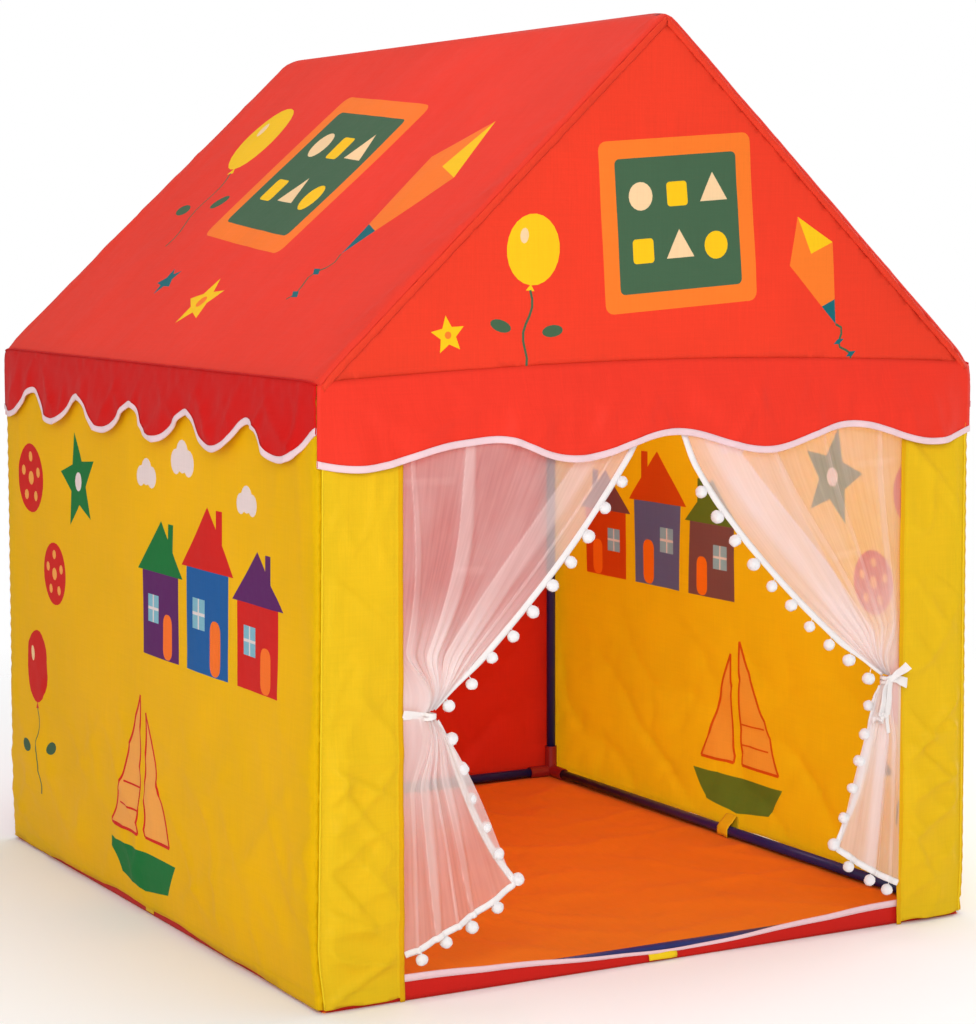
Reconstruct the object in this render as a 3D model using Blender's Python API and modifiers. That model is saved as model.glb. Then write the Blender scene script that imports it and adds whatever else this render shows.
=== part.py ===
"""Kids play tent: a tube frame in push-fit connectors, a floor mat with an upstanding
band, a house-shaped cover with scalloped valances, and two sheer tied-back curtains.

Metres, +Z up. The door faces -Y. The origin is on the ground, under the middle.
"""

import math

import bmesh
import bpy
from mathutils import Matrix, Vector

# House, measured over the outer faces of the wall cloth
width = 1.050
depth = 1.190
eave_height = 0.820
peak_height = 1.306
jamb_width = 0.120
hem_clearance = 0.004
hem_lift = 0.009
hem_steps = 8

# Cloth
cloth_thickness = 0.0012
sheer_thickness = 0.0010
seam_gap = 0.0003
seat_gap = 0.0004

# Smooth faces that meet at more than this keep a sharp edge
crease_angle = math.radians(40)

# Tubes
tube_radius = 0.008
tube_wall = 0.001
tube_sides = 12
tube_end_gap = 0.0005

# Connectors
sleeve_radius = 0.011
socket_radius = 0.0086
base_hub_back = 0.0085
eave_hub_back = 0.0035
ridge_hub_back = 0.0020
base_arm = 0.046
base_socket_floor = 0.014
eave_arm = 0.052
eave_socket_floor = 0.026
cut_overrun = 0.002
facet_roll = math.radians(7)

# Mat
mat_thickness = 0.0015
band_thickness = 0.0015
band_height = 0.0285
mat_binding_height = 0.0065
band_gap = 0.0018
loop_width = 0.030
loop_thickness = 0.0010
loop_crest = 0.0008

# Valances
valance_drop = 0.102
front_scallop = 0.015
side_drop = 0.090
side_scallop = 0.022
valance_flare = 0.0115
flare_fade = 0.070
front_seam_bow = 0.016
ridge_steps = 4
binding_height = 0.011
front_waves = 3.42
front_phase_share = 0.17
front_drift_share = 0.022
front_skew_share = 0.035
front_skew_at_share = 0.24
front_skew_spread_share = 0.06
side_waves = 5.65
side_phase_share = 0.45
flare_least_share = 0.25
flare_power = 1.3
valance_along_steps = 36
valance_down_steps = 2

# Curtains
curtain_header_gap = 0.008
curtain_top = eave_height - curtain_header_gap
curtain_meeting_gap = 0.004
curtain_side_gap = 0.001
header_depth = 0.0040
header_fold = 0.0016
drape_depth = -0.0024
drape_fold = 0.0045
fold_steps = 4
upper_folds = 6
upper_down_steps = 12
tail_folds = 4
tail_down_steps = 6
neck_half_width = 0.0070
emerge_from_share = 0.25
emerge_length_share = 0.35
narrow_from_share = 0.80
gather_from_share = 0.80
gather_fold_share = 0.60
tail_spread_share = 0.35
tail_fold_full_share = 0.50
tie_height = {"left": 0.380, "right": 0.366}
tie_inset = {"left": 0.038, "right": 0.026}

# The inner edge of each upper curtain, as places across the half door and down the drop
edge_across_shares = (1.0, 0.93, 0.36, 0.0)
edge_down_shares = (0.0, 0.40, 0.82, 1.0)

# The tails' lower corners, measured in from the jamb and up from the ground
tail_outer_height = {"left": 0.064, "right": 0.066}
tail_inner_reach = {"left": 0.164, "right": 0.108}
tail_inner_height = {"left": 0.140, "right": 0.128}

# Trim, bunch and ribbon
tape_gap = 0.0008
tape_width = 0.007
tape_thickness = 0.0010
pompom_radius = 0.0085
pompom_spacing = 0.044
pompom_sides = 8
pompom_ring_steps = 4
thread_length = 0.004
thread_radius = 0.0008
thread_sides = 4
bunch_radius = 0.0070
bunch_gap = 0.0004
ribbon_thickness = 0.0012
ribbon_height = 0.006
bow_thickness = 0.0010
bow_length = 0.055
bow_top_width = 0.012
bow_bottom_width = 0.040
bow_lean = 0.014
bow_along_steps = 8
bow_across_steps = 3
bow_lobe_share = 0.22
tail_sink_share = 0.9
upper_trim_first_row = 3

# Worked out from the sizes above
half_width = width / 2
half_depth = depth / 2
slope = math.atan2(peak_height - eave_height, half_width)
frame_inset = cloth_thickness + band_gap + band_thickness + seat_gap + sleeve_radius
frame_x = half_width - frame_inset
frame_y = half_depth - frame_inset
roof_to_axis = cloth_thickness + seat_gap + sleeve_radius
base_z = mat_thickness + seat_gap + sleeve_radius
eave_z = eave_height + frame_inset * math.tan(slope) - roof_to_axis / math.cos(slope)
ridge_z = peak_height - roof_to_axis / math.cos(slope)
door_half = half_width - jamb_width
header_z = eave_height - tube_radius - sleeve_radius
mat_half_x = half_width - cloth_thickness - band_gap
mat_half_y = half_depth - cloth_thickness - band_gap

sides = {"left": -1, "right": 1}
ends = {"front": -1, "back": 1}

# Colours
red = (0.78, 0.075, 0.045)
valance_red = (0.70, 0.05, 0.04)
yellow = (0.80, 0.50, 0.02)
bright_yellow = (0.87, 0.62, 0.03)
orange = (0.85, 0.20, 0.03)
navy = (0.02, 0.02, 0.07)
maroon = (0.35, 0.02, 0.02)
sheer_white = (0.90, 0.88, 0.86)
white = (0.90, 0.86, 0.86)


def new_collection(name):
    """A collection of that name, linked to the scene."""
    collection = bpy.data.collections.new(name)
    bpy.context.scene.collection.children.link(collection)
    return collection


def add_object(name, data, color, roughness=0.85):
    """One named piece with its own material."""
    piece = bpy.data.objects.new(name, data)
    parts.objects.link(piece)
    finish = bpy.data.materials.new(name)
    finish.use_nodes = True
    shader = finish.node_tree.nodes["Principled BSDF"]
    shader.inputs["Base Color"].default_value = (*color, 1.0)
    shader.inputs["Roughness"].default_value = roughness
    shader.inputs["Metallic"].default_value = 0.0
    if not data.materials:
        data.materials.append(finish)
    piece.material_slots[0].link = "OBJECT"
    piece.material_slots[0].material = finish
    return piece


def solidify(piece, thickness, offset=0.0):
    """Gives an open surface its thickness."""
    shell = piece.modifiers.new("thickness", "SOLIDIFY")
    shell.thickness = thickness
    shell.offset = offset
    shell.use_even_offset = offset != 0.0


def mesh_of(shape, name):
    """A mesh from a bmesh, with smooth faces and sharp edges kept."""
    mesh = bpy.data.meshes.new(name)
    shape.to_mesh(mesh)
    shape.free()
    mesh.shade_smooth()
    mesh.set_sharp_from_angle(angle=crease_angle)
    return mesh


def turn_to(direction):
    """The turn that takes +Z to a direction."""
    return direction.to_track_quat("Z", "Y")


# Frame


def add_tube(name, start, end):
    """A hollow tube between two socket floors."""
    shell = bmesh.new()
    bmesh.ops.create_cone(
        shell,
        cap_ends=False,
        segments=tube_sides,
        radius1=tube_radius,
        radius2=tube_radius,
        depth=(end - start).length - 2 * tube_end_gap,
    )
    tube = add_object(name, mesh_of(shell, name), navy, 0.35)
    tube.location = (start + end) / 2
    tube.rotation_mode = "QUATERNION"
    tube.rotation_quaternion = turn_to(end - start)
    solidify(tube, tube_wall, offset=-1.0)


def rod_mesh(name, direction, number, radius, start, end):
    """A closed round rod along a direction from the centre, between two distances. Each
    one is rolled a little further, so that the facets of crossing rods don't coincide."""
    rod = bmesh.new()
    bmesh.ops.create_cone(
        rod,
        cap_ends=True,
        segments=tube_sides,
        radius1=radius,
        radius2=radius,
        depth=end - start,
        matrix=Matrix.Rotation(number * facet_roll, 4, "Z"),
    )
    place = turn_to(direction).to_matrix().to_4x4() @ Matrix.Translation((0, 0, (start + end) / 2))
    bmesh.ops.transform(rod, matrix=place, verts=rod.verts)
    mesh = bpy.data.meshes.new(name)
    rod.to_mesh(mesh)
    rod.free()
    return mesh


def add_boolean(piece, cutter, operation):
    """One exact boolean of a piece with a hidden cutter."""
    cutter.hide_render = True
    cutter.display_type = "WIRE"
    step = piece.modifiers.new(operation.lower(), "BOOLEAN")
    step.operation = operation
    step.solver = "EXACT"
    step.object = cutter


def connector_mesh(name, directions, arm, floor, hub_back):
    """A moulded hub with one sleeve along each direction, bored for its tube."""
    hub = bpy.data.objects.new(name, rod_mesh(name, directions[0], 0, sleeve_radius, -hub_back, arm))
    cutters.objects.link(hub)
    for number, direction in enumerate(directions[1:], start=1):
        sleeve_name = f"{name}_sleeve_{number}"
        sleeve_shape = rod_mesh(sleeve_name, direction, number, sleeve_radius, -hub_back, arm)
        sleeve = bpy.data.objects.new(sleeve_name, sleeve_shape)
        cutters.objects.link(sleeve)
        add_boolean(hub, sleeve, "UNION")
    for number, direction in enumerate(directions):
        bore_name = f"{name}_bore_{number}"
        bore_shape = rod_mesh(bore_name, direction, number, socket_radius, floor, arm + cut_overrun)
        bore = bpy.data.objects.new(bore_name, bore_shape)
        cutters.objects.link(bore)
        add_boolean(hub, bore, "DIFFERENCE")
    hub.hide_render = True
    hub.display_type = "WIRE"
    evaluated = hub.evaluated_get(bpy.context.evaluated_depsgraph_get())
    mesh = bpy.data.meshes.new_from_object(evaluated)
    mesh.name = name
    mesh.shade_smooth()
    mesh.set_sharp_from_angle(angle=crease_angle)
    return mesh


def add_connector(name, mesh, place, quarter_turns):
    """One moulded connector, turned about the vertical to its corner."""
    connector = add_object(name, mesh, maroon, 0.45)
    connector.location = place
    connector.rotation_euler = (0, 0, quarter_turns * math.pi / 2)


def up_slope(side):
    """The direction up the roof from the eave on one side."""
    return Vector((-side * math.cos(slope), 0, math.sin(slope)))


def build_frame():
    """Seventeen tubes in ten push-fit connectors."""
    across = Vector((1, 0, 0))
    back = Vector((0, 1, 0))
    up = Vector((0, 0, 1))
    corner = connector_mesh("base_hub", [across, back, up], base_arm, base_socket_floor, base_hub_back)
    ridge_hub = connector_mesh(
        "ridge_hub",
        [back, -up_slope(-1), -up_slope(1)],
        base_arm,
        base_socket_floor,
        ridge_hub_back,
    )
    eave_hubs = {}
    for side, sign in sides.items():
        directions = [-sign * across, back, -up, up_slope(sign)]
        hub = connector_mesh(f"eave_hub_{side}", directions, eave_arm, eave_socket_floor, eave_hub_back)
        eave_hubs[sign] = hub
    turns = {("front", "left"): 0, ("front", "right"): 1, ("back", "right"): 2, ("back", "left"): 3}
    for (end, side), quarter_turns in turns.items():
        x = sides[side] * frame_x
        y = ends[end] * frame_y
        add_connector(f"base_connector_{end}_{side}", corner, (x, y, base_z), quarter_turns)
        hand = sides[side] if end == "front" else -sides[side]
        half_turns = 0 if end == "front" else 2
        add_connector(f"eave_connector_{end}_{side}", eave_hubs[hand], (x, y, eave_z), half_turns)
        add_tube(
            f"upright_{end}_{side}",
            Vector((x, y, base_z + base_socket_floor)),
            Vector((x, y, eave_z - eave_socket_floor)),
        )
        rafter = up_slope(sides[side])
        add_tube(
            f"rafter_{end}_{side}",
            Vector((x, y, eave_z)) + eave_socket_floor * rafter,
            Vector((0, y, ridge_z)) - base_socket_floor * rafter,
        )
    for end, y_sign in ends.items():
        y = y_sign * frame_y
        half_turns = 0 if end == "front" else 2
        add_connector(f"ridge_connector_{end}", ridge_hub, (0, y, ridge_z), half_turns)
        for level, z, floor in (("base", base_z, base_socket_floor), ("eave", eave_z, eave_socket_floor)):
            reach = frame_x - floor
            add_tube(f"{level}_tube_{end}", Vector((-reach, y, z)), Vector((reach, y, z)))
    for side, x_sign in sides.items():
        x = x_sign * frame_x
        for level, z, floor in (("base", base_z, base_socket_floor), ("eave", eave_z, eave_socket_floor)):
            reach = frame_y - floor
            add_tube(f"{level}_tube_{side}", Vector((x, -reach, z)), Vector((x, reach, z)))
    reach = frame_y - base_socket_floor
    add_tube("ridge_tube", Vector((0, -reach, ridge_z)), Vector((0, reach, ridge_z)))


# Mat


def add_ring(name, bottom, top, color):
    """An upright strip right round the edge of the mat, between two heights."""
    curve = bpy.data.curves.new(name, "CURVE")
    curve.dimensions = "2D"
    curve.fill_mode = "BOTH"
    curve.extrude = (top - bottom) / 2
    for inset in (0, band_thickness):
        x = mat_half_x - inset
        y = mat_half_y - inset
        spline = curve.splines.new("POLY")
        spline.points.add(3)
        for point, corner in zip(spline.points, ((-x, -y), (x, -y), (x, y), (-x, y))):
            point.co = (*corner, 0, 1)
        spline.use_cyclic_u = True
    ring = add_object(name, curve, color)
    ring.location = (0, 0, (bottom + top) / 2)


def loop_path():
    """A strap's section: up the band's outer face, over its top and the tube, and down
    to the mat. Distances run inwards from the band's outer face, and up."""
    outer = -seat_gap - loop_thickness / 2
    top = band_height + seam_gap + mat_binding_height + seat_gap + loop_thickness / 2
    inner = band_thickness + seat_gap + sleeve_radius + tube_radius + seat_gap + loop_thickness / 2
    shoulder = base_z + tube_radius + seat_gap + loop_thickness / 2
    return [
        (outer, mat_thickness + seat_gap),
        (outer, top),
        (band_thickness, top + loop_crest),
        (inner - loop_thickness, shoulder),
        (inner, base_z),
        (inner, mat_thickness + seat_gap),
    ]


def add_loop(name, quarter, reach):
    """A cloth loop in the middle of one side, which holds band and tube together."""
    path = loop_path()
    shape = bmesh.new()
    bmesh.ops.create_grid(shape, x_segments=1, y_segments=len(path) - 1, size=1)
    for vert in shape.verts:
        inwards, height = path[round((vert.co.y + 1) / 2 * (len(path) - 1))]
        vert.co = (vert.co.x * loop_width / 2, inwards - reach, height)
    loop = add_object(name, mesh_of(shape, name), yellow)
    loop.rotation_euler = (0, 0, quarter * math.pi / 2)
    solidify(loop, loop_thickness)


def build_mat():
    """The floor, its upstanding band, the binding on the band and the four loops."""
    floor = bmesh.new()
    size = (2 * mat_half_x, 2 * mat_half_y, mat_thickness, 1)
    matrix = Matrix.Translation((0, 0, mat_thickness / 2)) @ Matrix.Diagonal(size)
    bmesh.ops.create_cube(floor, size=1, matrix=matrix)
    add_object("floor_mat", mesh_of(floor, "floor_mat"), orange)
    add_ring("mat_band", mat_thickness + seam_gap, band_height, red)
    binding_bottom = band_height + seam_gap
    add_ring("mat_binding", binding_bottom, binding_bottom + mat_binding_height, white)
    for quarter, side in enumerate(("front", "right", "back", "left")):
        add_loop(f"mat_loop_{side}", quarter, mat_half_y if side in ends else mat_half_x)


# Cover


def add_panel(name, outline, place, turn, color):
    """A flat cloth panel from its outline, stood up and turned about the vertical."""
    curve = bpy.data.curves.new(name, "CURVE")
    curve.dimensions = "2D"
    curve.fill_mode = "BOTH"
    curve.extrude = cloth_thickness / 2
    spline = curve.splines.new("POLY")
    spline.points.add(len(outline) - 1)
    for point, (across, up) in zip(spline.points, outline):
        point.co = (across, up, 0, 1)
    spline.use_cyclic_u = True
    panel = add_object(name, curve, color)
    panel.location = place
    panel.rotation_euler = (math.pi / 2, 0, turn)


def hem_points(reach):
    """A wall's lower edge from one corner to the other, lifted a little in its middle."""
    points = []
    for step in range(hem_steps + 1):
        share = step / hem_steps
        lift = hem_lift * math.sin(math.pi * share) ** 2
        points.append((reach * (2 * share - 1), hem_clearance + lift))
    return points


def gable_points():
    """The top of an end wall just under the roof cloth, from the right eave to the left."""
    eave = eave_height - (cloth_thickness + seam_gap) / math.cos(slope)
    radius = roof_to_axis - cloth_thickness - seam_gap
    points = [(half_width, eave)]
    for step in range(2 * ridge_steps + 1):
        angle = math.pi / 2 - slope + slope * step / ridge_steps
        points.append((radius * math.cos(angle), ridge_z + radius * math.sin(angle)))
    points.append((-half_width, eave))
    return points


def build_walls():
    """The side walls, the door jambs, the front gable, and the back wall with its gable."""
    middle = cloth_thickness / 2
    side_reach = half_depth - cloth_thickness - seam_gap
    wall_top = eave_height - cloth_thickness * math.cos(slope) - seam_gap
    for side, sign in sides.items():
        outline = hem_points(side_reach) + [(side_reach, wall_top), (-side_reach, wall_top)]
        place = (sign * (half_width - middle), 0, 0)
        add_panel(f"wall_{side}", outline, place, math.pi / 2, yellow)
        low, high = sorted((sign * half_width, sign * door_half))
        bottom = hem_clearance
        top = header_z - seam_gap
        outline = [(low, bottom), (high, bottom), (high, top), (low, top)]
        add_panel(f"jamb_{side}", outline, (0, middle - half_depth, 0), 0, bright_yellow)
    gable = gable_points()
    front = [(-half_width, header_z), (half_width, header_z)] + gable
    add_panel("gable_front", front, (0, middle - half_depth, 0), 0, red)
    add_panel("wall_back", hem_points(half_width) + gable, (0, half_depth - middle, 0), 0, red)


def roof_path(side):
    """The middle of the roof cloth from the eave up and round the ridge tube."""
    middle = cloth_thickness / 2
    radius = roof_to_axis - middle
    low = Vector((side * (half_width - middle * math.sin(slope)), eave_height - middle * math.cos(slope)))
    points = [low]
    last = math.pi / 2 - math.asin((seam_gap / 2) / radius)
    first = math.pi / 2 - slope
    for step in range(ridge_steps + 1):
        angle = first + (last - first) * step / ridge_steps
        points.append(Vector((side * radius * math.cos(angle), ridge_z + radius * math.sin(angle))))
    return points


def build_roof():
    """Two roof panels that meet over the ridge tube."""
    for side, sign in sides.items():
        path = roof_path(sign)
        name = f"roof_{side}"
        shape = bmesh.new()
        bmesh.ops.create_grid(shape, x_segments=len(path) - 1, y_segments=1, size=1)
        for vert in shape.verts:
            x, z = path[round((vert.co.x + 1) / 2 * (len(path) - 1))]
            vert.co = (x, vert.co.y * half_depth, z)
        roof = add_object(name, mesh_of(shape, name), red)
        solidify(roof, cloth_thickness)


def smooth_step(share):
    """A gentle ramp from 0 to 1."""
    share = min(1.0, max(0.0, share))
    return share * share * (3 - 2 * share)


def valance_point(end_wall, binding, along_share, down_share):
    """A point of a valance: how far along, how far out and how high. down_share runs from
    the seam down to the binding or, with binding set, from there down to the hem."""
    if end_wall:
        length, drop, scallop = width, valance_drop, front_scallop
        waves, phase, bow = front_waves, front_phase_share, front_seam_bow
        skew = math.exp(-(((along_share - front_skew_at_share) / front_skew_spread_share) ** 2))
        drift = front_drift_share * math.sin(math.pi * along_share) + front_skew_share * skew
    else:
        length, drop, scallop = depth, side_drop, side_scallop
        waves, phase, bow = side_waves, side_phase_share, 0.0
        drift = 0.0
    wave = math.cos(2 * math.pi * ((along_share - drift) * waves - phase))
    seam_z = eave_height - cloth_thickness - seam_gap + bow * math.sin(math.pi * along_share)
    hem_z = eave_height - drop - scallop * wave
    split_z = hem_z + binding_height
    if binding:
        z = split_z - seam_gap - down_share * (binding_height - seam_gap)
    else:
        z = seam_z + down_share * (split_z - seam_z)
    down = (seam_z - z) / (seam_z - hem_z)
    to_end = min(along_share, 1 - along_share) * length
    fade = smooth_step(to_end / flare_fade)
    lift = flare_least_share + (1 - flare_least_share) * (1 + wave) / 2
    out = seam_gap + cloth_thickness / 2 + valance_flare * fade * lift * down**flare_power
    return (along_share - 0.5) * length, out, z


def add_valance(name, end_wall, sign, binding, color):
    """A valance, or the binding along its hem, as one waved strip."""
    shape = bmesh.new()
    rows = 1 if binding else valance_down_steps
    bmesh.ops.create_grid(shape, x_segments=valance_along_steps, y_segments=rows, size=1)
    for vert in shape.verts:
        shares = ((vert.co.x + 1) / 2, (vert.co.y + 1) / 2)
        along, out, z = valance_point(end_wall, binding, *shares)
        if end_wall:
            vert.co = (along, sign * (half_depth + out), z)
        else:
            vert.co = (sign * (half_width + out), along, z)
    piece = add_object(name, mesh_of(shape, name), color)
    solidify(piece, cloth_thickness)


def build_valances():
    """A scalloped valance with a white binding along each side of the house."""
    for place, sign in (*ends.items(), *sides.items()):
        end_wall = place in ends
        add_valance(f"valance_{place}", end_wall, sign, False, valance_red)
        add_valance(f"valance_binding_{place}", end_wall, sign, True, white)


# Curtains


def mix(start, end, share):
    """The value part of the way from start to end."""
    return start + (end - start) * share


def bezier(points, share):
    """A point of the cubic curve with those four control values."""
    rest = 1 - share
    weights = (rest**3, 3 * rest**2 * share, 3 * rest * share**2, share**3)
    return sum(weight * point for weight, point in zip(weights, points))


def upper_edge(side, down):
    """The inner edge of an upper curtain: distance in from the jamb, and height."""
    first = door_half - curtain_meeting_gap / 2
    last = tie_inset[side] + neck_half_width
    bottom = tie_height[side] + bunch_radius + bunch_gap
    across = [mix(last, first, share) for share in edge_across_shares]
    height = [mix(curtain_top, bottom, share) for share in edge_down_shares]
    return bezier(across, down), bezier(height, down)


def upper_point(side, across, down):
    """A point of an upper curtain: in from the jamb, inwards from the wall face, height."""
    inner, inner_z = upper_edge(side, down)
    bottom = tie_height[side] + bunch_radius + bunch_gap
    outer_z = mix(curtain_top, bottom, down)
    narrowed = smooth_step((down - narrow_from_share) / (1 - narrow_from_share))
    outer = mix(curtain_side_gap, tie_inset[side] - neck_half_width, narrowed)
    place = mix(outer, inner, across)
    z = mix(outer_z, inner_z, across)
    emerge = smooth_step((down - emerge_from_share) / emerge_length_share)
    gathered = smooth_step((down - gather_from_share) / (1 - gather_from_share))
    fold = mix(header_fold, drape_fold, emerge) * mix(1, gather_fold_share, gathered)
    inwards = mix(header_depth, drape_depth, emerge) + fold * math.cos(2 * math.pi * upper_folds * across)
    return place, inwards, z


def tail_edges(side, down):
    """Both edges of a tail: distance in from the jamb and height of each."""
    top = tie_height[side] - bunch_radius * tail_sink_share
    spread = smooth_step(down / tail_spread_share)
    outer = mix(tie_inset[side] - neck_half_width, curtain_side_gap, spread)
    inner = mix(tie_inset[side] + neck_half_width, tail_inner_reach[side], down)
    return outer, mix(top, tail_outer_height[side], down), inner, mix(top, tail_inner_height[side], down)


def tail_point(side, across, down):
    """A point of a tail: in from the jamb, inwards from the wall face, height."""
    outer, outer_z, inner, inner_z = tail_edges(side, down)
    fold = mix(header_fold, drape_fold, smooth_step(down / tail_fold_full_share))
    inwards = drape_depth + fold * math.cos(2 * math.pi * tail_folds * across)
    return mix(outer, inner, across), inwards, mix(outer_z, inner_z, across)


def door_place(side, point):
    """World place of a point given in from the jamb, inwards and height."""
    place, inwards, z = point
    return Vector((sides[side] * (door_half - place), inwards - half_depth, z))


def tie_centre(side):
    """The middle of the gather, on the tail's hinge axis."""
    return door_place(side, (tie_inset[side], drape_depth, tie_height[side]))


def plain_mesh(shape, name):
    """A mesh from a bmesh."""
    mesh = bpy.data.meshes.new(name)
    shape.to_mesh(mesh)
    shape.free()
    return mesh


def thickened(shape, thickness, name):
    """The closed mesh of an open surface with its thickness on both sides."""
    guide = bpy.data.objects.new(name, plain_mesh(shape, name))
    cutters.objects.link(guide)
    solidify(guide, thickness)
    evaluated = guide.evaluated_get(bpy.context.evaluated_depsgraph_get())
    solid = bpy.data.meshes.new_from_object(evaluated)
    bpy.data.objects.remove(guide)
    return solid


def add_joined(name, first, others, color):
    """One piece made of closed meshes that overlap, joined one after the other."""
    piece = add_object(name, first, color)
    for number, other in enumerate(others):
        cutter = bpy.data.objects.new(f"{name}_addition_{number}", other)
        cutters.objects.link(cutter)
        add_boolean(piece, cutter, "UNION")
    return piece


def add_tail(side):
    """The hanging part of a curtain, with the gathered ball that the ribbon holds."""
    name = f"curtain_tail_{side}"
    tail = bmesh.new()
    bmesh.ops.create_grid(
        tail,
        x_segments=tail_folds * fold_steps,
        y_segments=tail_down_steps,
        size=1,
    )
    for vert in tail.verts:
        vert.co = door_place(side, tail_point(side, (vert.co.x + 1) / 2, (vert.co.y + 1) / 2))
    bunch = bmesh.new()
    bmesh.ops.create_uvsphere(
        bunch,
        u_segments=tube_sides,
        v_segments=pompom_sides,
        radius=bunch_radius,
        matrix=Matrix.Translation(tie_centre(side)),
    )
    cloth = thickened(tail, sheer_thickness, name)
    return add_joined(name, cloth, [plain_mesh(bunch, name)], sheer_white)


def upper_route():
    """Where an upper curtain's trim runs on its sheet: down the inner edge."""
    return [(1.0, row / upper_down_steps) for row in range(upper_trim_first_row, upper_down_steps + 1)]


def tail_route():
    """Where a tail's trim runs on its sheet: down the inner edge and out along the hem."""
    columns = tail_folds * fold_steps
    down = [(1.0, row / tail_down_steps) for row in range(1, tail_down_steps)]
    return down + [(column / columns, 1.0) for column in range(columns, 0, -1)]


def add_trim(name, side, formula, route):
    """A white tape along an edge, with pompoms on short threads."""
    points = [door_place(side, formula(side, *spot)) for spot in route]
    last = len(points) - 1
    hand = -sides[side]
    outwards = []
    for index in range(len(points)):
        along = points[min(index + 1, last)] - points[max(index - 1, 0)]
        outwards.append(Vector((-along.z, 0, along.x)).normalized() * hand)
    tape = bmesh.new()
    bmesh.ops.create_grid(tape, x_segments=last, y_segments=1, size=1)
    for vert in tape.verts:
        index = round((vert.co.x + 1) / 2 * last)
        vert.co = points[index] + outwards[index] * mix(tape_gap, tape_width, (vert.co.y + 1) / 2)
    threads = bmesh.new()
    pompoms = bmesh.new()
    lengths = [(b - a).length for a, b in zip(points, points[1:])]
    count = round(sum(lengths) / pompom_spacing)
    for number in range(count):
        ahead = (number + 0.5) / count * sum(lengths)
        index = 0
        while ahead > lengths[index]:
            ahead -= lengths[index]
            index += 1
        share = ahead / lengths[index]
        edge = points[index].lerp(points[index + 1], share)
        out = outwards[index].lerp(outwards[index + 1], share).normalized()
        start = edge + out * (tape_width - thread_radius)
        middle = edge + out * (tape_width + thread_length + pompom_radius)
        middle.y = drape_depth - half_depth
        turn = turn_to(middle - start).to_matrix().to_4x4()
        bmesh.ops.create_cone(
            threads,
            cap_ends=True,
            segments=thread_sides,
            radius1=thread_radius,
            radius2=thread_radius,
            depth=(middle - start).length,
            matrix=Matrix.Translation((start + middle) / 2) @ turn,
        )
        bmesh.ops.create_uvsphere(
            pompoms,
            u_segments=pompom_sides,
            v_segments=pompom_ring_steps,
            radius=pompom_radius,
            matrix=Matrix.Translation(middle) @ turn,
        )
    others = [plain_mesh(threads, name), plain_mesh(pompoms, name)]
    return add_joined(name, thickened(tape, tape_thickness, name), others, white)


def bow_mesh(centre):
    """Two drooping loops and a loose end of the bow, as one flat shape on the ring."""
    front = bunch_radius + bunch_gap + ribbon_thickness - bow_thickness / 2
    bow = bmesh.new()
    bmesh.ops.create_grid(bow, x_segments=bow_along_steps, y_segments=bow_across_steps, size=1)
    for vert in bow.verts:
        down = (vert.co.y + 1) / 2
        lobe = bow_lobe_share * math.cos(2 * math.pi * vert.co.x)
        across = vert.co.x * mix(bow_top_width, bow_bottom_width, down) / 2
        drop = bow_length * down * (1 - bow_lobe_share - lobe)
        vert.co = centre + Vector((across - bow_lean * down, -front, -drop))
    return thickened(bow, bow_thickness, "bow")


def add_ribbon(side):
    """The ribbon: a ring round the gather and a strap along the hinge axis to the jamb."""
    centre = tie_centre(side)
    name = f"ribbon_{side}"
    inner_radius = bunch_radius + bunch_gap
    ring = bmesh.new()
    bmesh.ops.create_cone(
        ring,
        cap_ends=False,
        segments=tube_sides,
        radius1=inner_radius + ribbon_thickness / 2,
        radius2=inner_radius + ribbon_thickness / 2,
        depth=ribbon_height,
        matrix=Matrix.Translation(centre),
    )
    sign = sides[side]
    start = sign * (door_half - seam_gap)
    end = centre.x + sign * (inner_radius + ribbon_thickness / 2)
    size = (abs(start - end), ribbon_thickness, ribbon_height - ribbon_thickness, 1)
    strap = bmesh.new()
    matrix = Matrix.Translation(((start + end) / 2, centre.y, centre.z)) @ Matrix.Diagonal(size)
    bmesh.ops.create_cube(strap, size=1, matrix=matrix)
    others = [plain_mesh(strap, name)]
    if side == "right":
        others.append(bow_mesh(centre))
    return add_joined(name, thickened(ring, ribbon_thickness, name), others, white)


def add_pivot(name, place):
    """An empty that marks a joint, and that the pieces of a moving body hang on."""
    pivot = bpy.data.objects.new(name, None)
    pivot.location = place
    parts.objects.link(pivot)
    return pivot


def hang_on(pivot, pieces):
    """Parents pieces to a pivot, with their places in the world as they were."""
    for piece in pieces:
        piece.parent = pivot
        piece.matrix_parent_inverse = Matrix.Translation(-pivot.location)


def build_curtains():
    """Two sheer curtains: the fixed upper drapes and the tails that hang from the ties."""
    for side in sides:
        drape = bmesh.new()
        bmesh.ops.create_grid(
            drape,
            x_segments=upper_folds * fold_steps,
            y_segments=upper_down_steps,
            size=1,
        )
        for vert in drape.verts:
            vert.co = door_place(side, upper_point(side, (vert.co.x + 1) / 2, (vert.co.y + 1) / 2))
        name = f"curtain_{side}"
        piece = add_object(name, mesh_of(drape, name), sheer_white, 0.6)
        solidify(piece, sheer_thickness)
        add_trim(f"pompom_trim_upper_{side}", side, upper_point, upper_route())
        tail_trim = add_trim(f"pompom_trim_tail_{side}", side, tail_point, tail_route())
        pivot = add_pivot(f"tail_pivot_{side}", tie_centre(side))
        hang_on(pivot, (add_tail(side), tail_trim, add_ribbon(side)))


def build_cover():
    """The sewn cover with its curtains, on one empty that lifts it off the frame."""
    fixed = set(parts.objects)
    build_walls()
    build_roof()
    build_valances()
    build_curtains()
    sewn = [piece for piece in parts.objects if piece not in fixed and piece.parent is None]
    hang_on(add_pivot("cover_lift", Vector()), sewn)


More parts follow.
